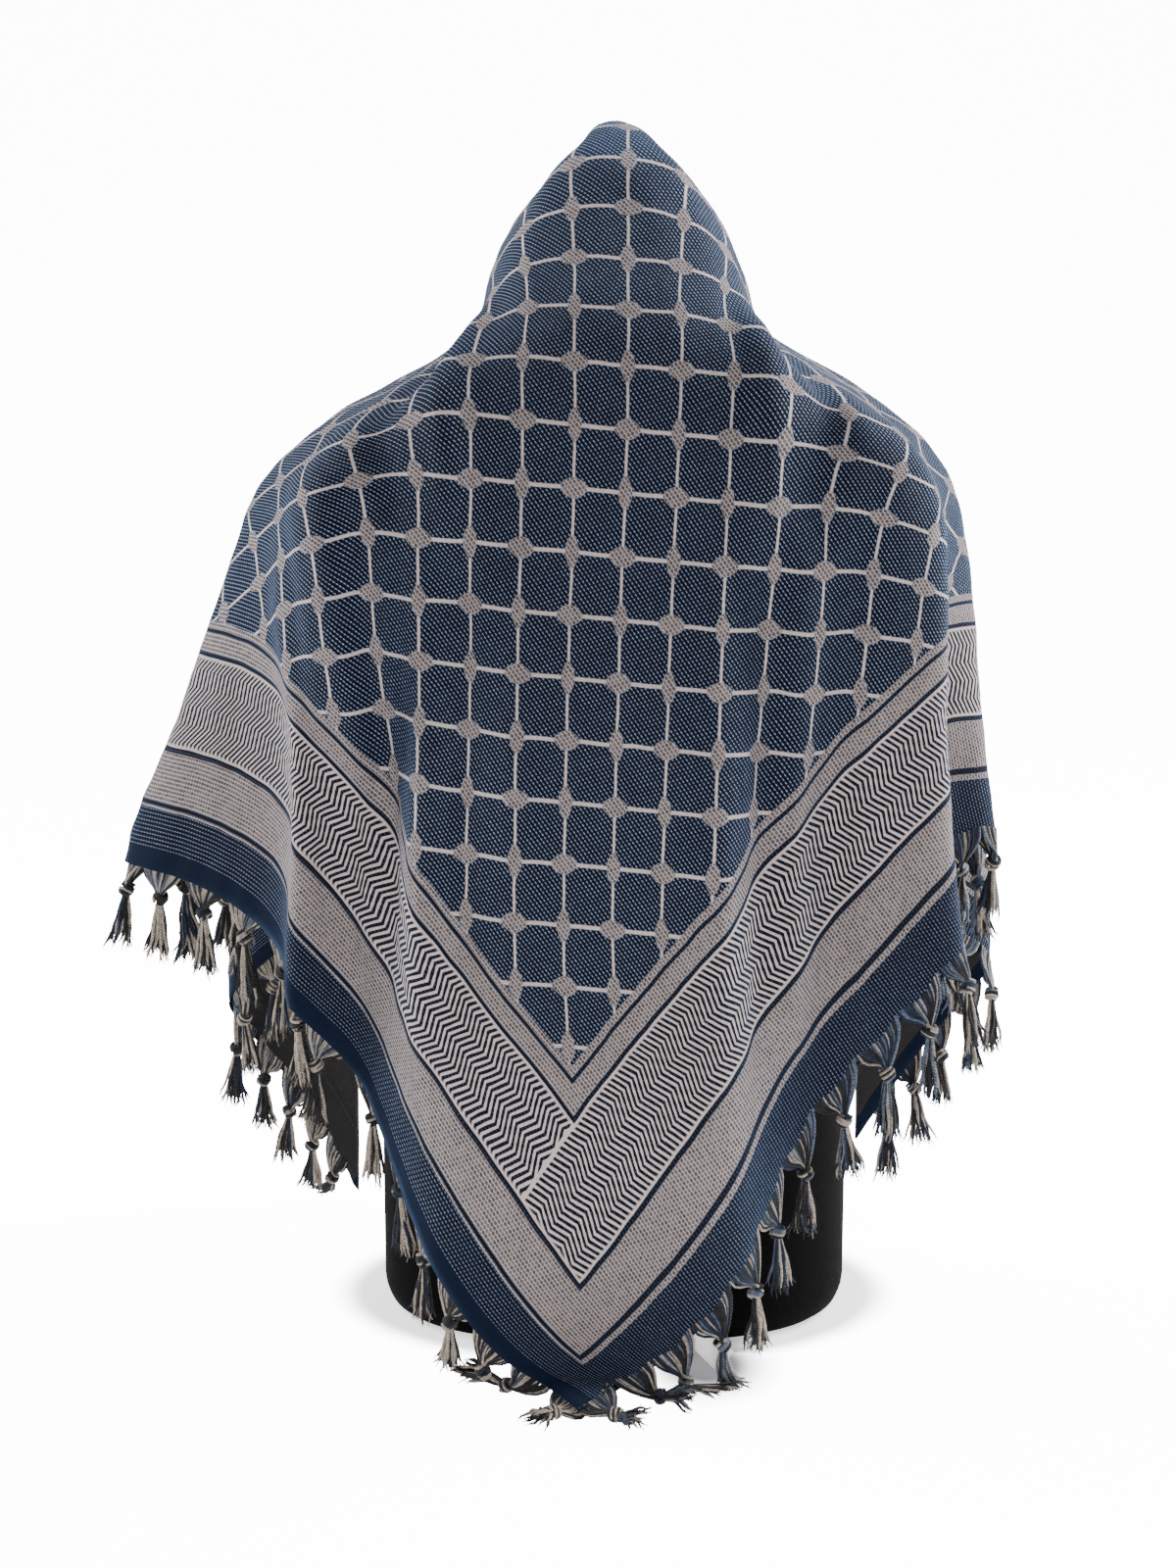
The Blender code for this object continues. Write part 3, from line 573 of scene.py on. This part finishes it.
def weave_group():
    """Which yarn is on top over the square: masks for beige, dash and selvedge, and the threads' height."""
    tree = bpy.data.node_groups.new("keffiyeh_weave", "ShaderNodeTree")
    tree.interface.new_socket("Flat", in_out="INPUT", socket_type="NodeSocketVector")
    for name in ("Beige", "Dash", "Selvedge", "Thread", "Yarn_Tint"):
        tree.interface.new_socket(name, in_out="OUTPUT", socket_type="NodeSocketFloat")
    flat = tree.nodes.new("NodeGroupInput").outputs[0]
    apart = tree.nodes.new("ShaderNodeSeparateXYZ")
    tree.links.new(flat, apart.inputs[0])
    wander = noise_reading(tree, flat, 45.0, 1.0) - 0.5
    drift = noise_reading(tree, flat, 52.0, 1.0, (1, 1, 1), 0.4) - 0.5
    u = Reading(tree, apart.outputs[0]) * SIDE + wander * WANDER
    v = Reading(tree, apart.outputs[1]) * SIDE + drift * WANDER

    from_selvedge = (u - SIDE / 2).sum("ABSOLUTE").flipped() - (1.0 - SIDE / 2)
    from_raw = (v - SIDE / 2).sum("ABSOLUTE").flipped() - (1.0 - SIDE / 2)
    into_border = (from_selvedge - BEIGE_BANDS[0][0]).sum("MAXIMUM", 0.0).sum("MINIMUM", NARROWED_BY)
    nearest = (from_selvedge + into_border * NARROWING).sum("MINIMUM", from_raw)
    soft = EDGE_SOFT

    # a dash on navy or a speck on beige to each cell, long with the warp, every other row half a cell on
    cell_u = Reading(tree, apart.outputs[0]) * (SIDE / WEAVE_PITCH)
    stagger = cell_u.sum("FLOOR").sum("PINGPONG", 1.0) * 0.5
    cell_v = Reading(tree, apart.outputs[1]) * (SIDE / WEAVE_PITCH) + stagger
    in_u = (cell_u.sum("FRACT") - 0.5).sum("ABSOLUTE")
    in_v = (cell_v.sum("FRACT") - 0.5).sum("ABSOLUTE")
    dash, speck = (((in_u / half_u).sum("POWER", DASH_POWER)
                    + (in_v / half_v).sum("POWER", DASH_POWER)).under(1.0, 0.40)
                   for half_u, half_v in (DASH_HALF, SPECK_HALF))
    chance = tree.nodes.new("ShaderNodeTexWhiteNoise")
    chance.noise_dimensions = "2D"
    cell = tree.nodes.new("ShaderNodeCombineXYZ")
    tree.links.new(cell_u.sum("FLOOR").socket, cell.inputs[0])
    tree.links.new(cell_v.sum("FLOOR").socket, cell.inputs[1])
    tree.links.new(cell.outputs[0], chance.inputs["Vector"])
    tint = Reading(tree, chance.outputs["Value"])

    # the net, at 45 degrees to the edges, with a lozenge at each knot, wide and tall by turns
    along = ((u - v) / math.sqrt(2.0) - NET_COLUMN) / NET_PITCH
    down = ((u + v) / -math.sqrt(2.0) + (REACH - NET_ROW)) / NET_PITCH
    column_off = ((along + 0.5).sum("FRACT") - 0.5).sum("ABSOLUTE") * NET_PITCH
    row_off = ((down + 0.5).sum("FRACT") - 0.5).sum("ABSOLUTE") * NET_PITCH
    odd = (along.sum("ROUND") - down.sum("ROUND")).sum("ABSOLUTE").sum("MODULO", 2.0)
    half_w, half_h = (odd * (at_odd - at_even) + at_even for at_even, at_odd in zip(*LOZENGES))
    lozenge = ((column_off / half_w).sum("POWER", LOZENGE_POWER)
               + (row_off / half_h).sum("POWER", LOZENGE_POWER)).under(1.0, 0.10)
    line = column_off.under(COLUMN_HALF, soft).sum("MAXIMUM", row_off.under(ROW_HALF, soft))
    net = line.sum("MAXIMUM", lozenge)
    field = nearest.under(FIELD_FROM, soft).flipped()
    beige = net * field

    # the borders, nested round the square; the zigzags of the raw edges run through at the corners
    for start, end in BEIGE_BANDS:
        beige = beige.sum("MAXIMUM", nearest.within(start, end, soft))
    zone = nearest.under(ZIGZAG_FROM, soft).flipped() * nearest.under(ZIGZAG_TO, soft)
    by_raw = from_raw.under(ZIGZAG_TO, soft)
    half_zig = (ZIGZAG_TO - ZIGZAG_FROM) / ZIGS
    zags = []
    for across, stacked in ((from_raw, u), (from_selvedge, v)):
        leaning = stacked + (across - ZIGZAG_FROM).sum("PINGPONG", half_zig) * ZIGZAG_LEAN
        rope = ((stacked + across) / 0.0017).sum("SINE") * 0.00012
        zags.append(((leaning / ZIGZAG_PITCH).sum("FRACT") - 0.5).sum("ABSOLUTE") * ZIGZAG_PITCH + rope)
    zag = zags[0] * by_raw + zags[1] * by_raw.flipped()
    zag_line = zag.under(ZIGZAG_LINE, 0.00022)
    clear = nearest.within(ZIGZAG_FROM + ZIGZAG_CLEAR, ZIGZAG_TO - ZIGZAG_CLEAR, 0.0010)
    cut = (from_raw - ZIGZAG_TO).sum("ABSOLUTE").under(0.0012, 0.0003).flipped()
    beige = beige.sum("MAXIMUM", zone * (zag_line * clear * cut).flipped())

    # where dashes show, faint in the borders' navy, and where specks do
    selvedge = from_selvedge.under(SELVEDGE_TO, 0.0004)
    ground = (field * line.flipped()).sum("MAXIMUM", nearest.under(OUTER_NAVY_TO, soft))
    ground = ground.sum("MAXIMUM", 0.22) * selvedge.flipped()
    plain = zone.flipped() * line.flipped().sum("MAXIMUM", lozenge).sum("MAXIMUM", field.flipped())
    dash = dash * ground * beige.flipped() * (field * 0.42 + 0.58) + speck * plain * beige

    twill = ((u * 0.35 + v) * (2 * math.pi / TWILL_PITCH)).sum("SINE") * 0.25
    thread = (twill + dash * 0.8) * (selvedge * -0.7 + 1.0) + beige * 0.35

    out = tree.nodes.new("NodeGroupOutput")
    for name, value in (("Beige", beige), ("Dash", dash), ("Selvedge", selvedge), ("Thread", thread),
                        ("Yarn_Tint", tint)):
        tree.links.new(value.socket, out.inputs[name])
    return tree


WEAVE = weave_group()


def woven(name, navy, navy_dash, beige_yarn, beige_dash, selvedge_navy, sheen):
    """One face of the cotton, from the colours of its two yarns and of the dashes and specks on them."""
    made, tree, shader = new_finish(name, 0.88, Sheen_Weight=sheen, Sheen_Roughness=0.4,
                                    Sheen_Tint=(0.26, 0.50, 1.0, 1.0), Specular_IOR_Level=0.15)
    place = tree.nodes.new("ShaderNodeUVMap")
    place.uv_map = "flat"
    weave = tree.nodes.new("ShaderNodeGroup")
    weave.node_tree = WEAVE
    tree.links.new(place.outputs[0], weave.inputs["Flat"])
    beige, dash, selvedge, thread, tint = (Reading(tree, weave.outputs[k]) for k in range(5))
    worn = noise_reading(tree, place.outputs[0], 9.0, 3.0)
    fine = noise_reading(tree, place.outputs[0], 700.0, 1.0)
    navy_top = blend_colours(tree, dash * (tint * 0.3 + 0.7), navy, navy_dash)
    beige_top = blend_colours(tree, dash * (tint * 0.16 + 0.72), beige_yarn, beige_dash)
    cloth = blend_colours(tree, beige, navy_top, beige_top)
    cloth = blend_colours(tree, selvedge, cloth, selvedge_navy)
    shaded = tree.nodes.new("ShaderNodeVectorMath")
    shaded.operation = "SCALE"
    tree.links.new(cloth, shaded.inputs[0])
    tree.links.new(((worn - 0.5) * 0.30 + (fine - 0.5) * 0.45 + 1.0).socket, shaded.inputs["Scale"])
    tree.links.new(shaded.outputs[0], shader.inputs["Base Color"])
    raise_surface(tree, shader, thread + fine * 0.3, 0.0005, 0.8)
    return made


face_cotton = woven("navy_and_beige_cotton", sheen=0.14, selvedge_navy=(0.0010, 0.0054, 0.019),
                    navy=(0.0006, 0.0020, 0.0088), navy_dash=(0.32, 0.41, 0.61),
                    beige_yarn=(0.59, 0.50, 0.475), beige_dash=(0.012, 0.012, 0.022))
# The reverse: yarns swapped and all very dark, partly its own colour and partly painted shade of the folds.
reverse_cotton = woven("reverse_cotton", sheen=0.05, selvedge_navy=(0.0012, 0.0060, 0.020),
                       navy=(0.034, 0.031, 0.031), navy_dash=(0.007, 0.008, 0.012),
                       beige_yarn=(0.014, 0.014, 0.018), beige_dash=(0.062, 0.056, 0.054))

# the flat square, cut along its diagonal for the fold, and then hung
FOLD_CUTS = (-0.0030, -0.0012, 0.0, 0.0012, 0.0030)

mesh_edit = bmesh.new()
mesh_edit.loops.layers.uv.new("flat")
bmesh.ops.create_grid(mesh_edit, x_segments=CLOTH_CELLS, y_segments=CLOTH_CELLS, size=SIDE / 2, calc_uvs=True)
diagonal = Vector((1, 1, 0)).normalized()
for off in FOLD_CUTS:
    whole = mesh_edit.verts[:] + mesh_edit.edges[:] + mesh_edit.faces[:]
    bmesh.ops.bisect_plane(mesh_edit, geom=whole, dist=1e-6, plane_co=diagonal * off, plane_no=diagonal)
for face in mesh_edit.faces:
    if face.calc_center_median().dot(diagonal) > 0:
        face.material_index = 1
flat = np.array([vert.co[:2] for vert in mesh_edit.verts]) + SIDE / 2
under = flat.sum(axis=1) > SIDE
a, b = np.where(under, SIDE - flat[:, 1], flat[:, 0]), np.where(under, SIDE - flat[:, 0], flat[:, 1])
from_fold = np.clip((REACH - (a + b) / math.sqrt(2.0)) / FOLD_ROUND, 0, 1)
turn = np.sqrt(1 - (1 - from_fold) ** 2)
depth = LAYER_STEP / 2 * (1 + np.where(under, turn, -turn))
for vert, place in zip(mesh_edit.verts, hang(a, b, depth)):
    vert.co = place
bmesh.ops.smooth_vert(mesh_edit, verts=[v for v in mesh_edit.verts if not v.is_boundary], factor=0.5,
                      use_axis_x=True, use_axis_y=True, use_axis_z=True)
scarf = put_in_scene("scarf", mesh_edit, face_cotton, reverse_cotton)
wall = scarf.modifiers.new("cotton", "SOLIDIFY")
wall.thickness = CLOTH
wall.offset = 0.0
wall.use_rim = True
wall.material_offset = 1
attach(scarf, "root")
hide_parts("outer_layer", "inner_layer")


# ---------------------------------------------------------------- the tassels
# The ends of the warp, left long past the two raw edges. Each tassel gathers the ends of four centimetres of
# edge, navy and cream, twisted in plies, ties them in an overhand knot and lets them fray.

TASSEL_COUNT = 29                  # along one edge
TASSEL_ROOT = 0.016
TASSEL_KNOT = 0.0052               # half width of the overhand knot's solid
TASSEL_TAIL = 0.040
TAIL_SPREAD = 0.0100
STRAND_LIFT = 0.0020               # tassels lie this far above the floor
ROOT_YARNS = 30
TAIL_YARNS = 26
YARN = 0.00088                     # half thickness of a plied yarn
EDGE_END = 0.012                   # no warp end leaves the edge this near to the fold
ROOT_INSIDE = 0.0030               # a warp end starts this far inside the edge
KNOT_PLIES = 6
KNOT_PLY = 0.00105                 # half thickness of a ply of the knot
KNOT_REACH = 0.0042                # half width of the knot
KNOT_STEP = 0.00145                # from one ply to the next
KNOT_POINTS = 15                   # along one ply
STRAYS = 2                         # frayed fibres at a yarn's end


def yarn_twist_group():
    """A plied yarn's grooves, for painted shade and height, and its fibres, for mottling and height."""
    tree = bpy.data.node_groups.new("yarn_twist", "ShaderNodeTree")
    tree.interface.new_socket("Along", in_out="INPUT", socket_type="NodeSocketVector")
    tree.interface.new_socket("Place", in_out="INPUT", socket_type="NodeSocketVector")
    for name in ("Groove", "Fibre"):
        tree.interface.new_socket(name, in_out="OUTPUT", socket_type="NodeSocketFloat")
    given = tree.nodes.new("NodeGroupInput")
    apart = tree.nodes.new("ShaderNodeSeparateXYZ")
    tree.links.new(given.outputs[0], apart.inputs[0])
    around, length = Reading(tree, apart.outputs[1]), Reading(tree, apart.outputs[0])
    groove = ((around * 2.0 + length * 18.0) * (2 * math.pi)).sum("SINE") * 0.5 + 0.5
    fibre = noise_reading(tree, given.outputs[1], 420.0, 3.0)
    out = tree.nodes.new("NodeGroupOutput")
    tree.links.new(groove.socket, out.inputs["Groove"])
    tree.links.new(fibre.socket, out.inputs["Fibre"])
    return tree


TWIST = yarn_twist_group()


def yarn_finish(name, light, dark):
    made, tree, shader = new_finish(name, 0.85, Sheen_Weight=0.15, Sheen_Roughness=0.4,
                                    Specular_IOR_Level=0.25)
    lengthwise = tree.nodes.new("ShaderNodeUVMap")
    place = tree.nodes.new("ShaderNodeTexCoord").outputs["Object"]
    twist = tree.nodes.new("ShaderNodeGroup")
    twist.node_tree = TWIST
    tree.links.new(lengthwise.outputs[0], twist.inputs["Along"])
    tree.links.new(place, twist.inputs["Place"])
    groove, fibre = (Reading(tree, twist.outputs[k]) for k in range(2))
    # painted shade in the twist's grooves, and the fibres' own mottling, between the light and the dark
    # colour
    shade = groove * 0.45 + (fibre - 0.5) * 1.4 + 0.28
    tree.links.new(blend_colours(tree, shade.under(0.5, 0.5), light, dark), shader.inputs["Base Color"])
    raise_surface(tree, shader, groove + fibre, 0.0004, 0.7)
    return made


YARNS = {
    "cream": yarn_finish("cream_yarn", (0.50, 0.43, 0.36), (0.16, 0.13, 0.105)),
    "navy": yarn_finish("navy_yarn", (0.020, 0.032, 0.066), (0.006, 0.009, 0.019)),
    "blue_grey": yarn_finish("blue_grey_yarn", (0.13, 0.165, 0.23), (0.035, 0.045, 0.07)),
    "black": yarn_finish("black_yarn", (0.022, 0.020, 0.022), (0.006, 0.006, 0.007)),
}


def lay_yarn(bundle, points, half, colour):
    """One yarn along points; half is its half thickness, or one for each point."""
    spline = bundle.splines.new("POLY")
    spline.points.add(len(points) - 1)
    for k, point in enumerate(points):
        spline.points[k].co = (*point, 1.0)
        spline.points[k].radius = half if isinstance(half, float) else half[k]
    spline.material_index = list(YARNS).index(colour)
    spline.use_smooth = True


def bend(p0, p1, p2, p3, count):
    """Points on a smooth curve from p0 to p3 that leaves towards p1 and comes in from p2."""
    return [p0 * (1 - f) ** 3 + p1 * 3 * f * (1 - f) ** 2 + p2 * 3 * f * f * (1 - f) + p3 * f ** 3
            for f in (k / (count - 1) for k in range(count))]


def tassel_path(start, away, lean):
    """A tassel's centre points from its root: it turns down, and runs along the floor where it meets it."""
    flat_away = Vector((away.x, away.y, 0.0))
    flat_away.normalize()
    heading = (away * 0.55 + Vector((0, 0, -1))).normalized()
    points = [start]
    here = start.copy()
    for length, half in ((TASSEL_ROOT, TASSEL_KNOT), (TASSEL_KNOT * 1.6, TASSEL_KNOT),
                         (TASSEL_TAIL * 0.5, TAIL_SPREAD), (TASSEL_TAIL * 0.5, TAIL_SPREAD)):
        here = here + heading * length
        if here.z < STRAND_LIFT + half:
            here.z = STRAND_LIFT + half
            here = here + flat_away * length * 0.45
        points.append(here)
        heading = (heading + Vector((0, 0, -0.9)) + lean).normalized()
    return points


def tie_tassel(bundle, chance, edge_at, place, out_of_face, swing, root_colours, tail_colours):
    """One tassel; edge_at gives the edge and a point a little inside it."""
    edge, inside = edge_at(place)
    away = (edge - inside).normalized()
    tangent = (edge_at(place + 0.002)[0] - edge_at(place - 0.002)[0]).normalized()
    facing = tangent.cross(away).normalized()
    if facing.dot(out_of_face[0]) < 0:
        facing = -facing
    path = tassel_path(edge, away + facing * out_of_face[1], tangent * swing)
    top, foot = path[1], path[2]
    down = (foot - top).normalized()
    wide = (tangent - down * tangent.dot(down)).normalized()
    deep = down.cross(wide).normalized()

    # the warp ends, fanning in from the edge
    for k in range(ROOT_YARNS):
        off = ((k + 0.5) / ROOT_YARNS - 0.5) * TASSEL_PITCH * 0.97 + chance.uniform(-0.0004, 0.0004)
        root, within = edge_at(min(max(place + off, 0.001), SIDE - EDGE_END))
        start = root + (within - root).normalized() * ROOT_INSIDE
        leaves = (root - within).normalized()
        spot = top + wide * (off * 0.075) + deep * chance.uniform(-0.0014, 0.0014)
        sag = Vector((0, 0, -1)) * abs(off) * chance.uniform(0.10, 0.32)
        points = bend(start, root + leaves * 0.007 + sag, spot - down * 0.006 + wide * off * 0.16,
                      spot + down * 0.002, 6)
        lay_yarn(bundle, points, YARN * chance.uniform(0.85, 1.1), chance.choice(root_colours))

    # the knot: plies that wrap the bundle aslant, round a core
    middle = (top + foot) / 2
    lean = Matrix.Rotation(math.radians(chance.uniform(28, 44)) * chance.choice((-1, 1)), 3, deep)
    axis = lean @ down
    side, front = lean @ wide, deep
    lay_yarn(bundle, [top - down * 0.001, middle, foot + down * 0.002], [0.0016, 0.0026, 0.0016], "navy")
    for k in range(KNOT_PLIES):
        level = (k - (KNOT_PLIES - 1) / 2) * KNOT_STEP
        reach = KNOT_REACH * math.sqrt(max(1 - (level / 0.0054) ** 2, 0.1))
        begin = chance.uniform(0, 0.5) + 0.12 * k
        points = []
        for j in range(KNOT_POINTS):
            share = j / (KNOT_POINTS - 1)
            turn = 2 * math.pi * (begin + 0.92 * share)
            drift = 0.0016 * (share - 0.5)
            points.append(middle + axis * (level + drift) + side * reach * math.cos(turn)
                          + front * reach * math.sin(turn))
        lay_yarn(bundle, points, KNOT_PLY, chance.choice(tail_colours))

    # the tail, spreading and fraying
    size = chance.uniform(0.74, 0.96)
    for k in range(TAIL_YARNS):
        turn = 2 * math.pi * (k * 0.382 + chance.uniform(-0.04, 0.04))
        spread = math.sqrt((k + 0.5) / TAIL_YARNS)
        ray = wide * math.cos(turn) + deep * math.sin(turn) * 0.7
        length = size * chance.uniform(0.78, 1.0)
        tip = path[3].lerp(path[4], 2 * length - 1) if length > 0.5 else path[3]
        p0 = foot - down * 0.002 + ray * spread * 0.0014
        p1 = foot + (path[3] - foot) * 0.45 + ray * spread * 0.0034
        p2 = path[3] + ray * spread * 0.0062
        p3 = tip + ray * spread * 0.0088 + Vector([chance.uniform(-0.0015, 0.0015) for _ in range(3)])
        points = bend(p0, p1, p2, p3, 9)
        phase, swell = chance.uniform(0, 6.28), chance.uniform(0.0005, 0.0017)
        for j, point in enumerate(points):
            point += (wide * math.sin(phase + j * 0.9) + deep * math.cos(phase + j * 0.75)) * swell * j / 8
            point.z = max(point.z, STRAND_LIFT + 0.0008)
        colour = chance.choice(tail_colours)
        lay_yarn(bundle, points, [YARN * 1.15] * 6 + [YARN * 1.1, YARN * 1.0, YARN * 0.8], colour)
        last = (points[-1] - points[-2]).normalized()
        for _ in range(STRAYS):
            stray = Vector([chance.uniform(-1, 1) for _ in range(3)]) * 0.55
            end = points[-1] + (last + stray) * chance.uniform(0.002, 0.0042)
            end.z = max(end.z, STRAND_LIFT)
            lay_yarn(bundle, [points[-1] - last * 0.001, end], [YARN * 0.55, YARN * 0.25], colour)


def tie_fringe(name, edge_at, out_of_face, root_colours, tail_colours, seed, *nodes):
    """All the tassels of one edge, as one mesh."""
    bundle = bpy.data.curves.new(name + "_yarns", "CURVE")
    bundle.dimensions = "3D"
    bundle.bevel_depth = 1.0
    bundle.bevel_resolution = 1
    bundle.use_fill_caps = True
    for finish in YARNS.values():
        bundle.materials.append(finish)
    chance = random.Random(seed)
    for k in range(TASSEL_COUNT):
        swing = 0.16 * math.sin(2.4 * k + seed)
        tie_tassel(bundle, chance, edge_at, TASSEL_FIRST + TASSEL_PITCH * k, out_of_face, swing, root_colours,
                   tail_colours)
    strands = bpy.data.objects.new(name + "_yarns", bundle)
    bpy.context.scene.collection.objects.link(strands)
    bpy.context.view_layer.update()
    data = bpy.data.meshes.new_from_object(strands.evaluated_get(bpy.context.evaluated_depsgraph_get()))
    bpy.data.objects.remove(strands, do_unlink=True)
    data.name = name
    piece = bpy.data.objects.new(name, data)
    bpy.context.scene.collection.objects.link(piece)
    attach(piece, "root")
    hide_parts(*nodes)
    return piece


def edge_line(on_right, depth):
    """Points on a raw edge and 9 mm inside it, by the distance from the back corner."""
    at = np.linspace(0.0, SIDE, 601)
    lines = []
    for inside in (0.0, 0.009):
        a, b = (at, np.full_like(at, inside)) if on_right else (np.full_like(at, inside), at)
        keep = a + b <= SIDE
        lines.append((at[keep], hang(a[keep], b[keep], np.full(keep.sum(), depth))))

    def edge_at(place):
        return tuple(Vector([float(np.interp(place, along, points[:, axis])) for axis in range(3)])
                     for along, points in lines)

    return edge_at


right_edge = edge_line(True, 0.0)
left_edge = edge_line(False, LAYER_STEP)
right_tassels = tie_fringe("right_tassels", right_edge, (Vector((1, -1, 0)), 0.2),
                           ("navy", "navy", "blue_grey", "black", "black", "cream"),
                           ("navy", "black", "black", "blue_grey", "cream", "cream"), 3, "right_fringe")
left_tassels = tie_fringe("left_tassels", left_edge, (Vector((-1, -1, 0)), -0.7),
                          ("cream", "cream", "blue_grey", "black", "black"),
                          ("navy", "black", "black", "black", "cream", "cream"), 5, "left_fringe")


# ---------------------------------------------------------------- the care label
# A white satin tape, heat-cut and sewn by its top under the raw edge beside a tassel. It is left blank.

LABEL_WIDTH = 0.022
LABEL_LENGTH = 0.036
LABEL_PLACE = 0.1168               # from the back corner along the right edge
LABEL_DEPTH = 0.0046               # under the outer layer
LABEL_HIDDEN = 0.008               # of its length, sewn under the edge


def satin_tape():
    made, tree, shader = new_finish("white_label", 0.55, Sheen_Weight=0.10)
    place = tree.nodes.new("ShaderNodeTexCoord").outputs["Object"]
    ribs = noise_reading(tree, place, 600.0, 1.0, (1.0, 1.0, 0.2))
    white = blend_colours(tree, ribs, (0.90, 0.89, 0.87), (0.96, 0.96, 0.95))
    tree.links.new(white, shader.inputs["Base Color"])
    raise_surface(tree, shader, ribs, 0.0002, 0.5)
    return made


tape_edge = edge_line(True, LABEL_DEPTH)
mesh_edit = bmesh.new()
bmesh.ops.create_grid(mesh_edit, x_segments=10, y_segments=14, size=0.5)
for vert in mesh_edit.verts:
    across, share = vert.co.x, 0.5 - vert.co.y
    edge, inside = tape_edge(LABEL_PLACE + across * LABEL_WIDTH)
    down = share * LABEL_LENGTH - LABEL_HIDDEN
    curl = 0.0012 * math.sin(3.0 * share + 1.0) * math.cos(4 * across)
    sway = Vector((0.0, 0.10 * max(down, 0.0) - curl * share, 0.0))
    vert.co = edge + (edge - inside).normalized() * down + sway
bmesh.ops.recalc_face_normals(mesh_edit, faces=mesh_edit.faces)
label = put_in_scene("label", mesh_edit, satin_tape())
wall = label.modifiers.new("tape", "SOLIDIFY")
wall.thickness = 0.0004
wall.offset = 0.0
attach(label, "root")
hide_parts("care_label")


# ---------------------------------------------------------------- the floor and the lights
# A plain white sweep that rises far off on the face side, lit softly from the left, the right, the back and
# the face side. It glows for the camera alone, so that it reads as white paper, but painted shadows dim it:
# its glow drops in an oval round the bust's base, and at the label it goes out and the paper is painted grey.

PAPER_GLOW = 13.0
# The paper's glow inside the painted shade round the bust.
SHADE_GLOW = 1.2                   # close round the bust
SKY_LIGHT = 0.12
FLOOR_HALF, FLOOR_LEVEL = 8.0, -0.0005
SWEEP_FROM, SWEEP_RISE = 2.0, 0.25


def show_camera(tree, lights, seen, output):
    """The camera sees one shader, and the other lights the scene."""
    ray = tree.nodes.new("ShaderNodeLightPath")
    either = tree.nodes.new("ShaderNodeMixShader")
    for k, socket in enumerate((ray.outputs["Is Camera Ray"], lights.outputs[0], seen.outputs[0])):
        tree.links.new(socket, either.inputs[k])
    tree.links.new(either.outputs[0], tree.nodes[output].inputs["Surface"])


def plain_white():
    made, tree, shader = new_finish("plain_white", 0.9)
    place = tree.nodes.new("ShaderNodeTexCoord").outputs["Object"]
    faint = noise_reading(tree, place, 2.0)
    paper = blend_colours(tree, faint, (0.88, 0.88, 0.88), (0.92, 0.92, 0.92))
    glow = tree.nodes.new("ShaderNodeEmission")
    apart = tree.nodes.new("ShaderNodeSeparateXYZ")
    tree.links.new(place, apart.inputs[0])
    x, y = Reading(tree, apart.outputs[0]), Reading(tree, apart.outputs[1])

    def near(at_x, at_y, reach_x, reach_y, soft):
        """1 inside an oval on the floor and 0 outside it."""
        off_x, off_y = (x - at_x) / reach_x, (y - at_y) / reach_y
        return (off_x * off_x + off_y * off_y).sum("SQRT").under(1.0, soft)

    # painted shade round the bust's base, and a painted shadow at the label: grey paper and no glow there
    painted_shade_by_bust = near(0.0, 0.0, 0.182, 0.126, 0.08)
    painted_shadow_by_label = near(0.058, -0.125, 0.038, 0.048, 0.55)
    tree.links.new(blend_colours(tree, painted_shadow_by_label, paper, (0.20, 0.20, 0.21)), shader.inputs["Base Color"])
    clear = painted_shade_by_bust.sum("MAXIMUM", painted_shadow_by_label).flipped()
    lit = clear * (PAPER_GLOW - SHADE_GLOW) + painted_shadow_by_label.flipped() * SHADE_GLOW
    tree.links.new(lit.socket, glow.inputs["Strength"])
    both = tree.nodes.new("ShaderNodeAddShader")
    tree.links.new(shader.outputs[0], both.inputs[0])
    tree.links.new(glow.outputs[0], both.inputs[1])
    show_camera(tree, shader, both, "Material Output")
    return made


mesh_edit = bmesh.new()
bmesh.ops.create_grid(mesh_edit, x_segments=40, y_segments=40, size=FLOOR_HALF)
for vert in mesh_edit.verts:
    vert.co.z = FLOOR_LEVEL + SWEEP_RISE * max(vert.co.y - SWEEP_FROM, 0.0) ** 2
floor = put_in_scene("floor", mesh_edit, plain_white())


LIGHTS = (
    # name,         place,               aimed at z, size,     watts
    ("left_light", (-1.8, 0.42, 1.55), 0.40, (1.0, 1.5), 98),
    ("right_light", (1.8, 0.36, 1.60), 0.40, (1.0, 1.5), 150),
    ("back_light", (0.0, -1.7, 0.10), 0.15, (1.4, 0.4), 17),
    ("front_light", (0.0, 2.6, 1.3), 0.45, (1.6, 1.2), 22),
)
for name, place, aim_z, size, watts in LIGHTS:
    data = bpy.data.lights.new(name, "AREA")
    data.shape = "RECTANGLE"
    data.size, data.size_y = size
    data.energy = watts
    light = bpy.data.objects.new(name, data)
    light.location = place
    light.rotation_euler = (Vector((0.0, 0.0, aim_z)) - Vector(place)).to_track_quat("-Z", "Y").to_euler()
    bpy.context.scene.collection.objects.link(light)

world = bpy.data.worlds.new("studio")
bpy.context.scene.world = world
world.use_nodes = True
soft_sky = world.node_tree.nodes["Background"]
white_wall = world.node_tree.nodes.new("ShaderNodeBackground")
for backdrop, strength in ((soft_sky, SKY_LIGHT), (white_wall, PAPER_GLOW)):
    backdrop.inputs["Color"].default_value = (1.0, 1.0, 1.0, 1.0)
    backdrop.inputs["Strength"].default_value = strength
show_camera(world.node_tree, soft_sky, white_wall, "World Output")
